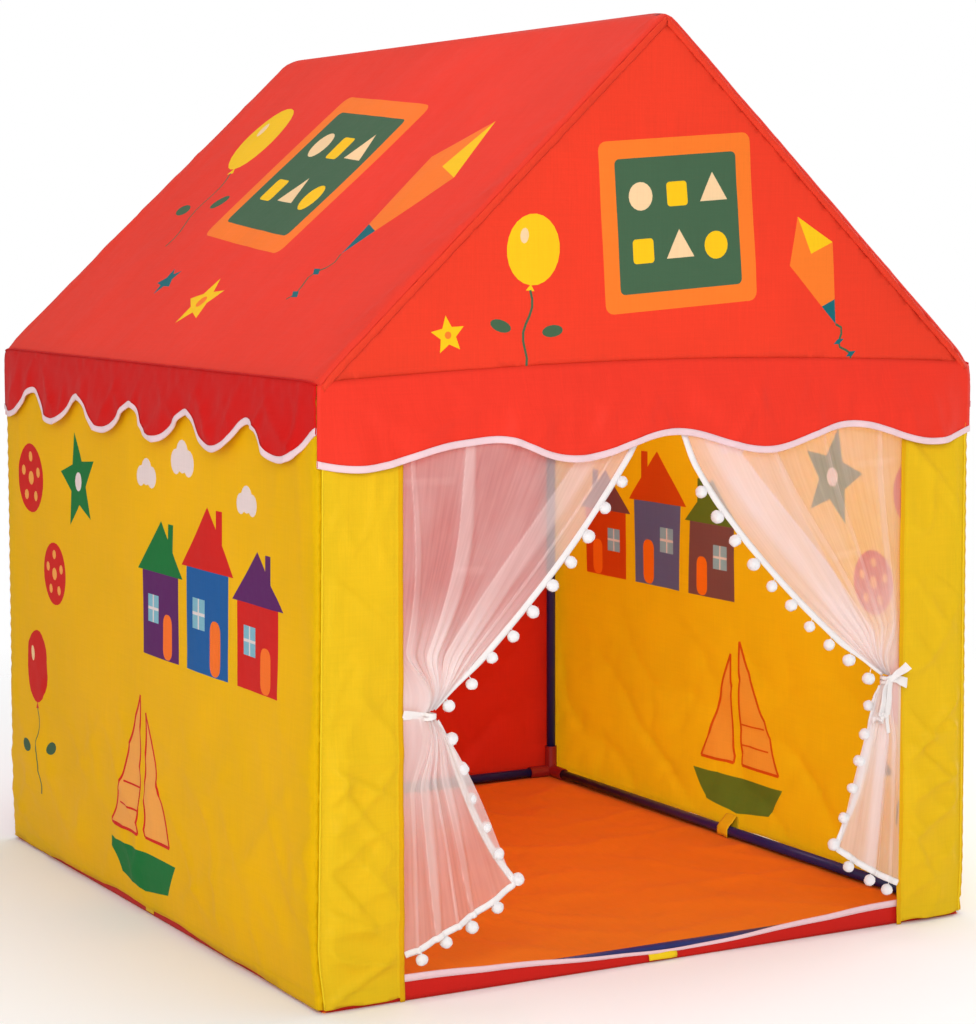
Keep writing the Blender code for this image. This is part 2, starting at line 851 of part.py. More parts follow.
for old in list(bpy.data.objects):
    bpy.data.objects.remove(old)
parts = new_collection("kids_play_tent")
cutters = new_collection("cutters")
build_frame()
build_mat()
build_cover()
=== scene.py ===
"""Looks of the kids play tent: printed polyester cloth, sheer curtains with pompoms, a
floor mat and a blue tube frame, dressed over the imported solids. Metres, +Z up, door at -Y."""

import math
import random

import bmesh
import bpy
import numpy as np
from mathutils import Matrix, Vector, noise
from mathutils.geometry import delaunay_2d_cdt

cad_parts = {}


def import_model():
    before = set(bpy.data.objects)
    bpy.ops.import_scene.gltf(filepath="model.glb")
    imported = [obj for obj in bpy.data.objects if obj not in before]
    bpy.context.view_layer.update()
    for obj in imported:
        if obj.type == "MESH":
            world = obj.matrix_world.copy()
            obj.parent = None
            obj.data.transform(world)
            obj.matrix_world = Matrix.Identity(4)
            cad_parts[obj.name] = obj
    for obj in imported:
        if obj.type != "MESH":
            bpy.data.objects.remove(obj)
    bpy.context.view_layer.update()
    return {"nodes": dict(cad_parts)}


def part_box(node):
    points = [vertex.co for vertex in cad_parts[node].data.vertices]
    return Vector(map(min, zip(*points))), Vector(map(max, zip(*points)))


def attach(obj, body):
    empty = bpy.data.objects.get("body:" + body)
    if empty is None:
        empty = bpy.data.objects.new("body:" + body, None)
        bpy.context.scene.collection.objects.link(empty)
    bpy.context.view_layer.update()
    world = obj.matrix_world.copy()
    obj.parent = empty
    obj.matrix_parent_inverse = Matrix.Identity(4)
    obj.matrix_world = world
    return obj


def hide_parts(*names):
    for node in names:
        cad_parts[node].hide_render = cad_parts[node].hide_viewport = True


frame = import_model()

# House, over the outer faces of the wall cloth
half_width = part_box("wall_back")[1].x
half_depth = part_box("wall_back")[1].y
eave_height = 0.820
peak_height = 1.306
jamb_width = 0.120
hem_clearance = 0.004
hem_lift = 0.010
hem_width = 0.018
hem_ripple = 0.0018
jamb_hem_ripple = 0.0022
slope = math.atan2(peak_height - eave_height, half_width)
door_half = half_width - jamb_width

# Cloth
cloth_thickness = 0.0008
tape_thickness = 0.0004
corner_radius = 0.005
corner_turn = 0.003
rake_radius = 0.006
rake_width = 0.010
rake_clearance = 0.002
wall_top_gap = 0.001
jamb_top_gap = 0.004
gable_foot_gap = 0.002
line_inset = 0.002
surface_gap = 0.0003
corner_sink = 0.0055
peak_sink = 0.0045
corner_reach = 0.052
gable_lap = 0.005
seam_depth = 0.0012
seam_half_width = 0.0022
stitch_depth = 0.0006
pucker_height = 0.0016
deepest_dip = 0.0008
valance_foot = 0.70
jamb_fold_width = 0.008
fold_end = 0.012
seam_wobble = 0.0005
jamb_seam_radius = 0.0014
eave_seam_radius = 0.0013
grid_step = 0.011
print_step = 0.006
jamb_step = 0.0045
mat_step = 0.012
pen_width = 0.0035

# Frame, mat and loops
tube_radius = 0.008
tube_wall = 0.001
tube_segments = 32
connector_rounding = 0.0006
sharp_angle = math.radians(50)
roof_to_axis = 0.0126
ridge_z = peak_height - roof_to_axis / math.cos(slope)
mat_thickness = 0.0012
mat_inset = 0.0012
mat_corner = 0.006
band_inset = 0.0008
band_slump = 0.017
band_sag = 0.0165
band_sag_at = 0.02
band_sag_reach = 0.24
loop_width = 0.030
front_loop_width = 0.046
loop_inset = 0.0023
loop_thickness = 0.0009

# Valances
valance_drop = 0.102
front_scallop = 0.015
side_drop = 0.090
side_scallop = 0.022
valance_flare = 0.0115
flare_fade = 0.070
flare_power = 1.3
flare_least_share = 0.25
front_seam_bow = 0.016
valance_offset = 0.0009
binding_height = 0.0088
binding_bulge = 0.0007
front_waves = 3.42
front_phase_share = 0.17
front_drift_share = 0.022
front_skew_share = 0.035
front_skew_at_share = 0.24
front_skew_spread_share = 0.06
side_waves = 5.65
side_point_share = 0.13
side_phase_share = 0.45

# Curtains
curtain_top = 0.812
curtain_meeting_gap = 0.004
tail_side_gap = 0.002
header_depth = 0.0040
drape_depth = -0.0024
neck_half_width = 0.0070
bunch_radius = 0.0070
bunch_gap = 0.0004
bunch_overlap_share = 0.3
jamb_cover = 0.012
jamb_clear = 0.0045
web_share = 0.12
emerge_from_share = 0.25
emerge_length_share = 0.35
narrow_from_share = 0.80
tie_height = {"left": 0.380, "right": 0.366}
tie_inset = {"left": 0.038, "right": 0.026}
edge_across_shares = {"left": (1.0, 0.86, 0.33, 0.0), "right": (1.0, 0.91, 0.35, 0.0)}
edge_down_shares = {"left": (0.0, 0.31, 0.76, 1.0), "right": (0.0, 0.37, 0.80, 1.0)}
tail_outer_height = {"left": 0.064, "right": 0.066}
tail_inner_reach = {"left": 0.164, "right": 0.108}
tail_inner_height = {"left": 0.140, "right": 0.128}
tail_spread_share = 0.34
tail_bulge = {"left": 0.011, "right": 0.004}
tail_sag = 0.004
turned_share = {"left": 0.15, "right": 0.22}
turned_depth = 0.009
tail_edge_depth = {"left": 0.004, "right": -0.0054}
drape_grid = (220, 90)
tail_grid = (120, 60)
tape_width = 0.007
trim_thickness = 0.0011
pompom_radius = 0.0088
pompom_spacing = 0.044
thread_length = 0.003
thread_radius = 0.0006
ribbon_gap = 0.0020
ribbon_width = 0.0046
ribbon_thickness = 0.0009
strap_width = (0.0078, 0.0150)
strap_depth = {"left": 0.0005, "right": 0.0018}
knot_radii = (0.0064, 0.0038, 0.0058)
knot_stand = 0.0018
bow_lean = 0.85

# Stage
floor_radius = 6.0
floor_drop = 0.0006
white_from, white_to = 1.0, 2.6
sky_strength = 0.52
sensor_width = 36.0
focal_pixels = 2700.0
frame_pixels = 1024.0

sides = {"left": -1, "right": 1}
ends = {"front": -1, "back": 1}


def shares(steps):
    """Equal steps from 0 to 1, with both ends."""
    return [step / steps for step in range(steps + 1)]


def smooth_step(share):
    """A gentle ramp from 0 to 1."""
    share = min(1.0, max(0.0, share))
    return share * share * (3 - 2 * share)


def mix(start, end, share):
    """The value part of the way from start to end."""
    return start + (end - start) * share


def bell(distance, reach):
    """1 at no distance, and less on both sides."""
    return math.exp(-((distance / reach) ** 2))


def bezier(points, share):
    """A point of the cubic curve with those four control values."""
    rest = 1 - share
    weights = (rest**3, 3 * rest**2 * share, 3 * rest * share**2, share**3)
    return sum((weight * point for weight, point in zip(weights[1:], points[1:])), weights[0] * points[0])


def new_object(name, data):
    """An object in the scene."""
    item = bpy.data.objects.new(name, data)
    bpy.context.scene.collection.objects.link(item)
    return item


def paint(red, green, blue):
    """A colour from its 0 to 255 values, as linear light."""
    parts = [value / 255 for value in (red, green, blue)]
    return tuple(s / 12.92 if s <= 0.04045 else ((s + 0.055) / 1.055) ** 2.4 for s in parts) + (1.0,)


# Materials

weave_scale = 520.0
yarn_scale = 420.0
warp_stretch, weft_stretch = (1, 0.03, 1), (0.03, 1, 1)
sheer_least, sheer_most = 0.30, 0.97


class Look:
    """A material or a world whose nodes are added and joined by short calls."""

    def __init__(self, owner, shader, output):
        owner.use_nodes = True
        self.material = owner
        self.nodes = owner.node_tree.nodes
        self.links = owner.node_tree.links
        self.shader = self.nodes[shader]
        self.output = self.nodes[output]

    def add(self, kind, inputs=None, **settings):
        """A node with its settings and its inputs, which are values or other sockets."""
        node = self.nodes.new("ShaderNode" + kind)
        for key, value in settings.items():
            setattr(node, key, value)
        for key, value in (inputs or {}).items():
            self.feed(node.inputs[key], value)
        return node

    def feed(self, socket, value):
        """Joins a socket to another, or sets its value."""
        if isinstance(value, bpy.types.NodeSocket):
            self.links.new(value, socket)
        else:
            socket.default_value = value

    def set(self, inputs):
        """Sets or joins the shader's own sockets."""
        for key, value in inputs.items():
            self.feed(self.shader.inputs[key], value)

    def math(self, operation, first, second):
        """The outcome of a sum on two values."""
        return self.add("Math", {0: first, 1: second}, operation=operation).outputs[0]

    def blend(self, factor, first, second, mode="MIX"):
        """Two colours mixed."""
        inputs = {0: factor, 6: first, 7: second}
        return self.add("Mix", inputs, data_type="RGBA", blend_type=mode).outputs[2]

    def tint(self, colour, shade):
        """A colour times a value."""
        grey = self.add("CombineColor", {0: shade, 1: shade, 2: shade}).outputs[0]
        return self.blend(1.0, colour, grey, "MULTIPLY")

    def span(self, value, low, high, from_low=0.0, from_high=1.0):
        """A value moved from one range to another."""
        inputs = {0: value, 1: from_low, 2: from_high, 3: low, 4: high}
        return self.add("MapRange", inputs).outputs[0]

    def flat(self):
        """The cloth's flat coordinates."""
        return self.add("UVMap", uv_map="flat").outputs[0]

    def place(self):
        """The object's own coordinates."""
        return self.add("TexCoord").outputs["Object"]

    def noise(self, coordinates, scale, detail=2.0, stretch=(1, 1, 1)):
        """Noise from 0 to 1, drawn out by a scale along each axis."""
        moved = self.add("Mapping", {"Vector": coordinates, "Scale": stretch}).outputs[0]
        return self.add("TexNoise", {"Vector": moved, "Scale": scale, "Detail": detail}).outputs[0]

    def bump(self, height, distance, strength, normal=None):
        """A bump from a height, on top of another one."""
        inputs = {"Height": height, "Distance": distance, "Strength": strength}
        if normal is not None:
            inputs["Normal"] = normal
        return self.add("Bump", inputs).outputs[0]

    def layer(self, weight, under, over):
        """Two shaders mixed, given as nodes, as the whole surface. Returns the mix."""
        both = self.add("MixShader", {0: weight, 1: under.outputs[0], 2: over.outputs[0]})
        self.feed(self.output.inputs["Surface"], both.outputs[0])
        return both


def new_look(name, roughness):
    """A material to build on."""
    look = Look(bpy.data.materials.new(name), "Principled BSDF", "Material Output")
    look.set({"Roughness": roughness})
    return look


def cloth_look(name, ground, muted=None, glow=0.30, roughness=0.55):
    """Woven polyester. muted is how far its print fades, as on the inner face, if it has one,
    and glow is the share of light that comes through."""
    look = new_look(name, roughness)
    flat = look.flat()
    colour = ground
    if muted is not None:
        ink = look.add("Attribute", attribute_name="print")
        printed = look.math("MULTIPLY", ink.outputs["Alpha"], 1.0 - muted)
        colour = look.blend(printed, ground, ink.outputs["Color"])
    broad = look.span(look.noise(flat, 5.0, 3.0), 0.94, 1.06)
    warp = look.span(look.noise(flat, yarn_scale, 2.0, warp_stretch), 0.955, 1.045)
    weft = look.span(look.noise(flat, yarn_scale, 2.0, weft_stretch), 0.965, 1.035)
    colour = look.tint(colour, look.math("MULTIPLY", look.math("MULTIPLY", broad, warp), weft))
    threads = [look.noise(flat, weave_scale, 1.0, way) for way in ((1, 0.05, 1), (0.05, 1, 1))]
    weave = look.bump(look.math("ADD", *threads), 0.00025, 0.5)
    normal = look.bump(look.noise(flat, 28.0, 3.0), 0.0025, 0.35, weave)
    look.set({
        "Base Color": colour,
        "Roughness": look.span(look.noise(flat, 60.0, 2.0), roughness - 0.07, roughness + 0.08),
        "Sheen Weight": 0.02,
        "Sheen Roughness": 0.4,
        "Specular IOR Level": 0.12,
        "Normal": normal,
    })
    look.layer(glow, look.shader, look.add("BsdfTranslucent", {"Color": colour, "Normal": normal}))
    return look.material


def sheer_look(name, colour, cover=0.32):
    """Organza: fine threads that let much through, denser where it is gathered."""
    look = new_look(name, 0.45)
    flat = look.flat()
    dense = look.add("Attribute", attribute_name="print").outputs["Alpha"]
    streaks = look.noise(flat, 180.0, 1.0, (1, 0.04, 1))
    thread = look.span(streaks, -0.015, 0.055, 0.3, 0.7)
    haze = look.span(look.noise(flat, 9.0, 3.0, (1, 0.6, 1)), -0.02, 0.09, 0.35, 0.65)
    weight = look.math("ADD", look.math("ADD", look.math("ADD", thread, haze), dense), cover)
    weight = look.add("Clamp", {0: weight, 1: sheer_least, 2: sheer_most}).outputs[0]
    look.set({"Base Color": colour, "Sheen Weight": 0.2, "Normal": look.bump(streaks, 0.0003, 0.15)})
    threads = look.layer(0.40, look.shader, look.add("BsdfTranslucent", {"Color": colour}))
    look.layer(weight, look.add("BsdfTransparent"), threads)
    return look.material


def tape_look(name, colour):
    """Woven binding tape with cross ribs."""
    look = new_look(name, 0.7)
    flat = look.flat()
    ribs = look.noise(flat, 900.0, 1.0, (1, 0.1, 1))
    shade = look.span(look.noise(flat, 90.0, 3.0), 0.93, 1.03)
    look.set({"Base Color": look.tint(colour, shade), "Sheen Weight": 0.2})
    look.set({"Normal": look.bump(ribs, 0.0003, 0.6)})
    return look.material


def fluff_look(name, colour):
    """Soft yarn, with a fine uneven nap."""
    look = new_look(name, 0.9)
    nap = look.noise(look.place(), 1400.0, 3.0)
    shade = look.span(nap, 0.86, 1.02)
    look.set({"Base Color": look.tint(colour, shade), "Sheen Weight": 0.6})
    look.set({"Normal": look.bump(nap, 0.0012, 0.8)})
    return look.material


def plastic_look(name, colour, roughness, grain):
    """Moulded or coated plastic with faint grain and scuffs."""
    look = new_look(name, roughness)
    place = look.place()
    scuff = look.noise(place, 55.0, 4.0, (1, 1, 0.4))
    look.set({
        "Base Color": look.tint(colour, look.span(scuff, 0.82, 1.2)),
        "Roughness": look.span(scuff, roughness - 0.1, roughness + 0.15),
        "Normal": look.bump(look.noise(place, grain, 2.0), 0.0002, 0.4),
    })
    return look.material


red = paint(240, 66, 48)
gable_red = paint(242, 70, 44)
jamb_yellow = paint(240, 204, 28)
hem_edge = paint(236, 186, 10)
looks = {
    "roof": cloth_look("roof cloth", red, 0.0),
    "gable": cloth_look("gable cloth", gable_red, 0.0),
    "facing": cloth_look("rake facing cloth", gable_red),
    "valance": cloth_look("front valance cloth", paint(238, 56, 38), glow=0.12),
    # The side valances are painted a darker red than the front valance, as painted shade on the tent's
    # sides.
    "side valance": cloth_look("side valance cloth painted darker", paint(213, 16, 12), glow=0.12),
    "back": cloth_look("back wall cloth", paint(230, 56, 34)),
    "wall": cloth_look("side wall cloth", paint(242, 202, 0), 0.0, 0.42),
    "jamb": cloth_look("jamb cloth", jamb_yellow, 0.0),
    "mat": cloth_look("mat cloth", paint(240, 128, 30), glow=0.0, roughness=0.6),
    "band": cloth_look("mat band cloth", paint(198, 30, 22), glow=0.05),
    "loop": cloth_look("loop cloth", jamb_yellow, glow=0.05),
    "roof inside": cloth_look("roof cloth inside", red, 0.35),
    "gable inside": cloth_look("gable cloth inside", gable_red, 0.35),
    # The side walls' inner face is painted a lighter yellow than their outer face, as painted light for the
    # light that shines through the cloth.
    "wall inside": cloth_look("side wall cloth inside painted lighter", paint(250, 226, 34), 0.25, 0.42),
    "sheer": sheer_look("sheer curtain", paint(246, 240, 240)),
    "tape": tape_look("white tape", paint(236, 230, 228)),
    "edging": tape_look("pale edging", paint(232, 198, 203)),
    "fluff": fluff_look("pompom yarn", paint(248, 245, 246)),
    "tube": plastic_look("blue tube coating", paint(24, 34, 100), 0.32, 900.0),
    "connector": plastic_look("connector plastic", paint(138, 24, 26), 0.42, 1500.0),
}


# Prints, as (colour, outline) pairs in metres on the flat cloth, later ones on top. A print's
# own points are shares of its size.

ink_cream = paint(248, 226, 178)
ink_orange = paint(250, 138, 48)
ink_green = paint(78, 114, 84)
ink_teal = paint(30, 118, 128)
ink_yellow = paint(250, 214, 30)
ink_red = paint(222, 40, 34)
ink_purple = paint(112, 46, 120)
ink_blue = paint(40, 112, 186)
ink_leaf = paint(34, 138, 70)
ink_pale = paint(238, 232, 236)
ink_peach = paint(248, 192, 96)
ink_sky = paint(150, 206, 226)


def turned(points, centre, turn=0.0, size=1.0):
    """Points times a size, turned about the centre, in degrees, and moved to it."""
    cos, sin = math.cos(math.radians(turn)), math.sin(math.radians(turn))
    sized = [(x * size, y * size) for x, y in points]
    return [(centre[0] + x * cos - y * sin, centre[1] + x * sin + y * cos) for x, y in sized]


def disc(centre, radius, steps=20, flat=1.0):
    """A round or oval outline."""
    angles = [2 * math.pi * step / steps for step in range(steps)]
    return [(centre[0] + radius * math.cos(a), centre[1] + radius * flat * math.sin(a)) for a in angles]


def star(centre, outer, inner, points=5, turn=0.0):
    """A star with a point upwards."""
    outline = []
    for number in range(2 * points):
        radius = inner if number % 2 else outer
        angle = math.pi / 2 + math.pi * number / points
        outline.append((radius * math.cos(angle), radius * math.sin(angle)))
    return turned(outline, centre, turn)


def spotted_star(centre, outer, inner, turn, colour, spot, spot_colour, steps):
    """A star with a round spot on its middle."""
    return [(colour, star(centre, outer, inner, 5, turn)), (spot_colour, disc(centre, spot, steps))]


def soft_box(centre, width, height, radius, turn=0.0, steps=4):
    """A rectangle with round corners."""
    x, y = width / 2 - radius, height / 2 - radius
    outline = []
    for quarter, (cx, cy) in enumerate(((x, y), (-x, y), (-x, -y), (x, -y))):
        for share in shares(steps):
            angle = math.pi / 2 * (quarter + share)
            outline.append((cx + radius * math.cos(angle), cy + radius * math.sin(angle)))
    return turned(outline, centre, turn)


def box(centre, width, height):
    """A rectangle."""
    x, y = width / 2, height / 2
    return turned([(-x, -y), (x, -y), (x, y), (-x, y)], centre)


def stroke(points, width):
    """A line drawn with a pen of that width."""
    left, right = [], []
    last = len(points) - 1
    for index, point in enumerate(points):
        before, after = points[max(index - 1, 0)], points[min(index + 1, last)]
        along = Vector((after[0] - before[0], after[1] - before[1])).normalized()
        left.append((point[0] - along.y * width / 2, point[1] + along.x * width / 2))
        right.append((point[0] + along.y * width / 2, point[1] - along.x * width / 2))
    return left + right[::-1]


def window(centre, size, turn):
    """A green board in an orange frame, with rows of balls, blocks and triangles on it."""
    shapes = [
        (ink_orange, soft_box(centre, size, size * 0.94, size * 0.05, turn)),
        (ink_green, soft_box(centre, size * 0.80, size * 0.74, size * 0.03, turn)),
    ]
    kinds = (
        disc((0, 0), size * 0.078),
        soft_box((0, 0), size * 0.135, size * 0.135, size * 0.02),
        star((0, 0), size * 0.105, size * 0.053, 3),
    )
    rows = (
        (0.16, (ink_cream, ink_yellow, ink_cream), 0),
        (-0.14, (ink_yellow, ink_cream, ink_yellow), 1),
    )
    for up, colours, first in rows:
        for number, colour in enumerate(colours):
            place = turned([((number - 1) * 0.24 * size, up * size)], centre, turn)[0]
            shapes.append((colour, turned(kinds[(number + first) % 3], place, turn)))
    return shapes


def kite(centre, length, turn):
    """An orange kite with a teal tip and a tail of two ties."""
    body = [(0, 0.34), (0.17, 0.10), (0, -0.36), (-0.17, 0.10)]
    tip = [(0, -0.36), (0.052, -0.22), (-0.052, -0.22)]
    half = [(0, 0.34), (0.17, 0.10), (0, 0.10)]
    pairs = ((ink_orange, body), (ink_yellow, half), (ink_teal, tip))
    shapes = [(colour, turned(outline, centre, turn, length)) for colour, outline in pairs]
    tail = [(0.03 * math.sin(step * 1.3) * length, (-0.36 - 0.035 * step) * length) for step in range(8)]
    shapes.append((ink_green, stroke(turned(tail, centre, turn), pen_width)))
    for step in (3, 6):
        tie = star(tail[step], 0.04 * length, 0.016 * length, 2, 90)
        shapes.append((ink_teal, turned(tie, centre, turn)))
    return shapes


def balloon(centre, radius, colour, turn):
    """A balloon with a knot, a shine and a string with a green bow."""
    knot = [(0, -1.14), (0.16, -1.36), (-0.16, -1.36)]
    shine = disc((-0.38 * radius, 0.42 * radius), radius * 0.16, 12, 1.6)
    string = [(0.13 * math.sin(step * 0.9) * radius, (-1.34 - 0.28 * step) * radius) for step in range(11)]
    shapes = [
        (colour, turned(disc((0, 0), radius, 24, 1.18), centre, turn)),
        (colour, turned(knot, centre, turn, radius)),
        (ink_cream, turned(shine, centre, turn)),
        (ink_green, stroke(turned(string, centre, turn), pen_width)),
    ]
    for side in (-1, 1):
        loop = disc((side * 0.42 * radius, -2.75 * radius), radius * 0.40, 14, 0.5)
        shapes.append((ink_green, turned(loop, centre, turn + side * 12)))
    return shapes


def house(corner, width, height, colour, roof):
    """A little toy house with its lower left corner there."""
    x, y = corner
    middle = x + width / 2
    pane = (middle - width * 0.2, y + height * 0.35)
    body = box((middle, y + height * 0.32), width, height * 0.64)
    eave = y + height * 0.62
    eaves = [(x - width * 0.12, eave), (x + width * 1.12, eave), (middle, y + height)]
    chimney = box((middle + width * 0.27, y + height * 0.87), width * 0.14, height * 0.24)
    door = soft_box((middle + width * 0.2, y + height * 0.17), width * 0.24, height * 0.33, width * 0.1)
    glass = box(pane, width * 0.30, width * 0.30)
    shapes = [(roof, chimney), (colour, body), (roof, eaves), (ink_orange, door), (ink_sky, glass)]
    for bar in (((-0.35, 0), (-0.05, 0)), ((-0.2, -0.15), (-0.2, 0.15))):
        line = [(middle + across * width, pane[1] + up * width) for across, up in bar]
        shapes.append((ink_pale, stroke(line, width * 0.03)))
    return shapes


def cloud(centre, size):
    """A small pale cloud of three balls."""
    return [
        (ink_pale, disc((centre[0] + x * size, centre[1] + y * size), radius * size, 16))
        for x, y, radius in ((-0.5, 0, 0.38), (0, 0.18, 0.5), (0.5, 0, 0.4))
    ]


def ball(centre, radius):
    """A red ball with peach spots."""
    shapes = [(ink_red, disc(centre, radius, 28))]
    for number in range(5):
        angle = math.radians(90 + 72 * number)
        place = (centre[0] + 0.62 * radius * math.cos(angle), centre[1] + 0.62 * radius * math.sin(angle))
        shapes.append((ink_peach, disc(place, radius * 0.15, 10)))
    return shapes + [(ink_peach, disc(centre, radius * 0.2, 12))]


def boat(centre, size):
    """A sailing boat: peach sails edged in red over a green hull."""
    x, y = centre
    sails = ([(-0.04, -0.22), (-0.04, 0.5), (-0.42, -0.22)], [(0.04, -0.22), (0.04, 0.42), (0.34, -0.22)])
    hull = [(-0.44, -0.30), (0.42, -0.30), (0.30, -0.47), (0.0, -0.51), (-0.32, -0.47)]
    shapes = [(ink_leaf, turned(hull, centre, 0, size))]
    for outline in sails:
        sail = turned(outline, centre, 0, size)
        shapes.append((ink_peach, sail))
        for start, end in zip(sail, sail[1:] + sail[:1]):
            shapes.append((ink_red, stroke([start, end], 0.005)))
    for level in (0.02, -0.10):
        up = y + level * size
        line = [(x - (0.30 - 0.5 * level) * size * 0.9, up), (x - 0.04 * size, up)]
        shapes.append((ink_red, stroke(line, 0.0028)))
    return shapes


def roof_prints():
    """The prints of a roof panel: along from the viewer's left, and up the slope."""
    shapes = window((0.56, 0.41), 0.34, -7)
    shapes += balloon((0.22, 0.50), 0.062, ink_yellow, 8)
    shapes += kite((0.96, 0.37), 0.40, -20)
    shapes += spotted_star((0.60, 0.13), 0.050, 0.023, 12, ink_yellow, 0.011, ink_orange, 12)
    return shapes + [(ink_teal, star((0.40, 0.17), 0.030, 0.014, 5, 30))]


def gable_prints():
    """The prints of the gable: along from the left edge, and up from the ground."""
    shapes = window((0.545, 1.020), 0.245, 4)
    shapes += kite((0.775, 0.955), 0.235, 24)
    shapes += balloon((0.318, 0.985), 0.040, ink_yellow, -6)
    return shapes + spotted_star((0.19, 0.875), 0.026, 0.012, 8, ink_yellow, 0.005, ink_orange, 10)


def wall_prints():
    """The prints of a side wall: along from the viewer's left, and up from the ground."""
    shapes = ball((0.12, 0.615), 0.056)
    shapes += spotted_star((0.33, 0.625), 0.078, 0.036, 10, ink_leaf, 0.015, ink_pale, 14)
    shapes += ball((0.225, 0.470), 0.050)
    shapes += house((0.60, 0.395), 0.135, 0.20, ink_purple, ink_leaf)
    shapes += house((0.765, 0.395), 0.145, 0.235, ink_blue, ink_red)
    shapes += house((0.940, 0.395), 0.135, 0.19, ink_red, ink_purple)
    shapes += cloud((0.61, 0.655), 0.040) + cloud((0.745, 0.685), 0.048) + cloud((0.97, 0.645), 0.038)
    shapes += balloon((0.14, 0.31), 0.050, ink_red, 5)
    return shapes + boat((0.60, 0.185), 0.29)


# Cloth panels


def inside(points, outline):
    """Which of the points lie inside an outline."""
    x, y = points[:, 0], points[:, 1]
    found = np.zeros(len(points), bool)
    for (x1, y1), (x2, y2) in zip(outline, outline[1:] + outline[:1]):
        if y1 != y2:
            crosses = (y1 > y) != (y2 > y)
            found ^= crosses & (x < (x2 - x1) * (y - y1) / (y2 - y1) + x1)
    return found


def spaced(points, step, closed=True):
    """An outline with more points on it, at most a step apart."""
    ring = points + points[:1] if closed else points
    spread = []
    for start, end in zip(ring, ring[1:]):
        count = max(1, math.ceil(math.dist(start, end) / step))
        for i in range(count):
            spread.append(tuple(mix(a, b, i / count) for a, b in zip(start, end)))
    return spread if closed else spread + [points[-1]]


def flat_mesh(name, outline, prints, lines, step):
    """A flat panel in triangles, cut along its prints and its sewn lines, with the print's
    colour on each face, and its alpha 1 there. Returns the mesh and its flat points."""
    points, edges = [], []
    loops = [(spaced(outline, step), True)]
    loops += [(spaced(shape, print_step), True) for _, shape in prints]
    loops += [(spaced(line, step, False), False) for line in lines]
    for loop, closed in loops:
        first, count = len(points), len(loop)
        points += loop
        edges += [(first + i, first + (i + 1) % count) for i in range(count if closed else count - 1)]
    border = np.array(loops[0][0])
    low, high = border.min(0), border.max(0)
    across = np.arange(low[0] + step / 2, high[0], step)
    up = np.arange(low[1] + step / 2, high[1], step * math.sqrt(3) / 2)
    grid = np.array([(x + (row % 2) * step / 2, y) for row, y in enumerate(up) for x in across])
    grid = grid[inside(grid, loops[0][0])]
    taken = np.array(points)
    batch, least_gap = 200, step * 0.45
    clear = np.ones(len(grid), bool)
    for start in range(0, len(taken), batch):
        gap = np.linalg.norm(grid[:, None] - taken[None, start : start + batch], axis=2).min(1)
        clear &= gap > least_gap
    points += [tuple(spot) for spot in grid[clear]]
    verts, _, faces, *_ = delaunay_2d_cdt([Vector(spot) for spot in points], edges, [], 1, 1e-6)
    flat = np.array([tuple(v) for v in verts])
    mesh = bpy.data.meshes.new(name)
    mesh.from_pydata([(x, y, 0.0) for x, y in flat], [], [list(face) for face in faces])
    corners = np.array([list(face) for face in faces])
    centres = flat[corners].mean(1)
    colours = np.tile(np.array((1.0, 1.0, 1.0, 0.0)), (len(faces), 1))
    for colour, shape in prints:
        colours[inside(centres, shape)] = colour
    ink = mesh.color_attributes.new("print", "FLOAT_COLOR", "CORNER")
    ink.data.foreach_set("color", np.repeat(colours, 3, axis=0).ravel().astype(np.float32))
    uv = mesh.uv_layers.new(name="flat")
    uv.data.foreach_set("uv", flat[corners.ravel()].ravel().astype(np.float32))
    return mesh, flat


def flat_area(outline):
    """The area of an outline."""
    pairs = zip(outline, outline[1:] + outline[:1])
    return abs(sum(x1 * y2 - x2 * y1 for (x1, y1), (x2, y2) in pairs)) / 2


cover_pieces = []


def add_piece(name, mesh, body, look, node=None):
    """A piece of the scene on its body, in place of a solid."""
    piece = new_object(name, mesh)
    for material in look if isinstance(look, (list, tuple)) else [look]:
        mesh.materials.append(material)
    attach(piece, body)
    if body == "cover":
        cover_pieces.append(piece)
    if node:
        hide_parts(node)
    return piece


def mesh_from(name, shape, flat=True):
    """A smooth mesh from a bmesh, with a layer for flat coordinates or none."""
    mesh = bpy.data.meshes.new(name)
    shape.to_mesh(mesh)
    shape.free()
    if flat:
        mesh.uv_layers.new(name="flat")
    mesh.shade_smooth()
    return mesh


def grid_of(columns, rows, formula):
    """A bmesh grid whose points come from a formula of their shares across and up."""
    shape = bmesh.new()
    bmesh.ops.create_grid(shape, x_segments=columns, y_segments=rows, size=1)
    for vert in shape.verts:
        vert.co = formula((vert.co.x + 1) / 2, (vert.co.y + 1) / 2)
    return shape


def thicken(piece, thickness, inner_slot=0, offset=0.0):
    """Gives a cloth surface its thickness, with its own inner material."""
    shell = piece.modifiers.new("thickness", "SOLIDIFY")
    shell.thickness = thickness
    shell.offset = offset
    shell.material_offset = inner_slot


def face_outwards(mesh, outwards):
    """Turns a mesh over if its faces point away from a direction on the whole."""
    total = sum((face.normal * face.area for face in mesh.polygons), Vector())
    if total.dot(Vector(outwards)) < 0:
        mesh.flip_normals()


def lay(mesh, places, outwards):
    """Moves a flat mesh's points to their places."""
    mesh.vertices.foreach_set("co", np.array(places, np.float32).ravel())
    mesh.update()
    face_outwards(mesh, outwards)
    mesh.shade_smooth()


def cloth(name, outline, place, outwards, look, slot, inner=None, prints=(), lines=(), step=grid_step):
    """A panel of cloth from its flat outline, laid by a function from flat points to places."""
    mesh, flat = flat_mesh(name, outline, list(prints), list(lines), step)
    lay(mesh, [tuple(place(x, y)) for x, y in flat], outwards)
    found = [looks[look]] + ([looks[inner]] if inner else [])
    piece = add_piece(name, mesh, "cover", found, name)
    thicken(piece, cloth_thickness, 1 if inner else 0)
    flat_area(outline)


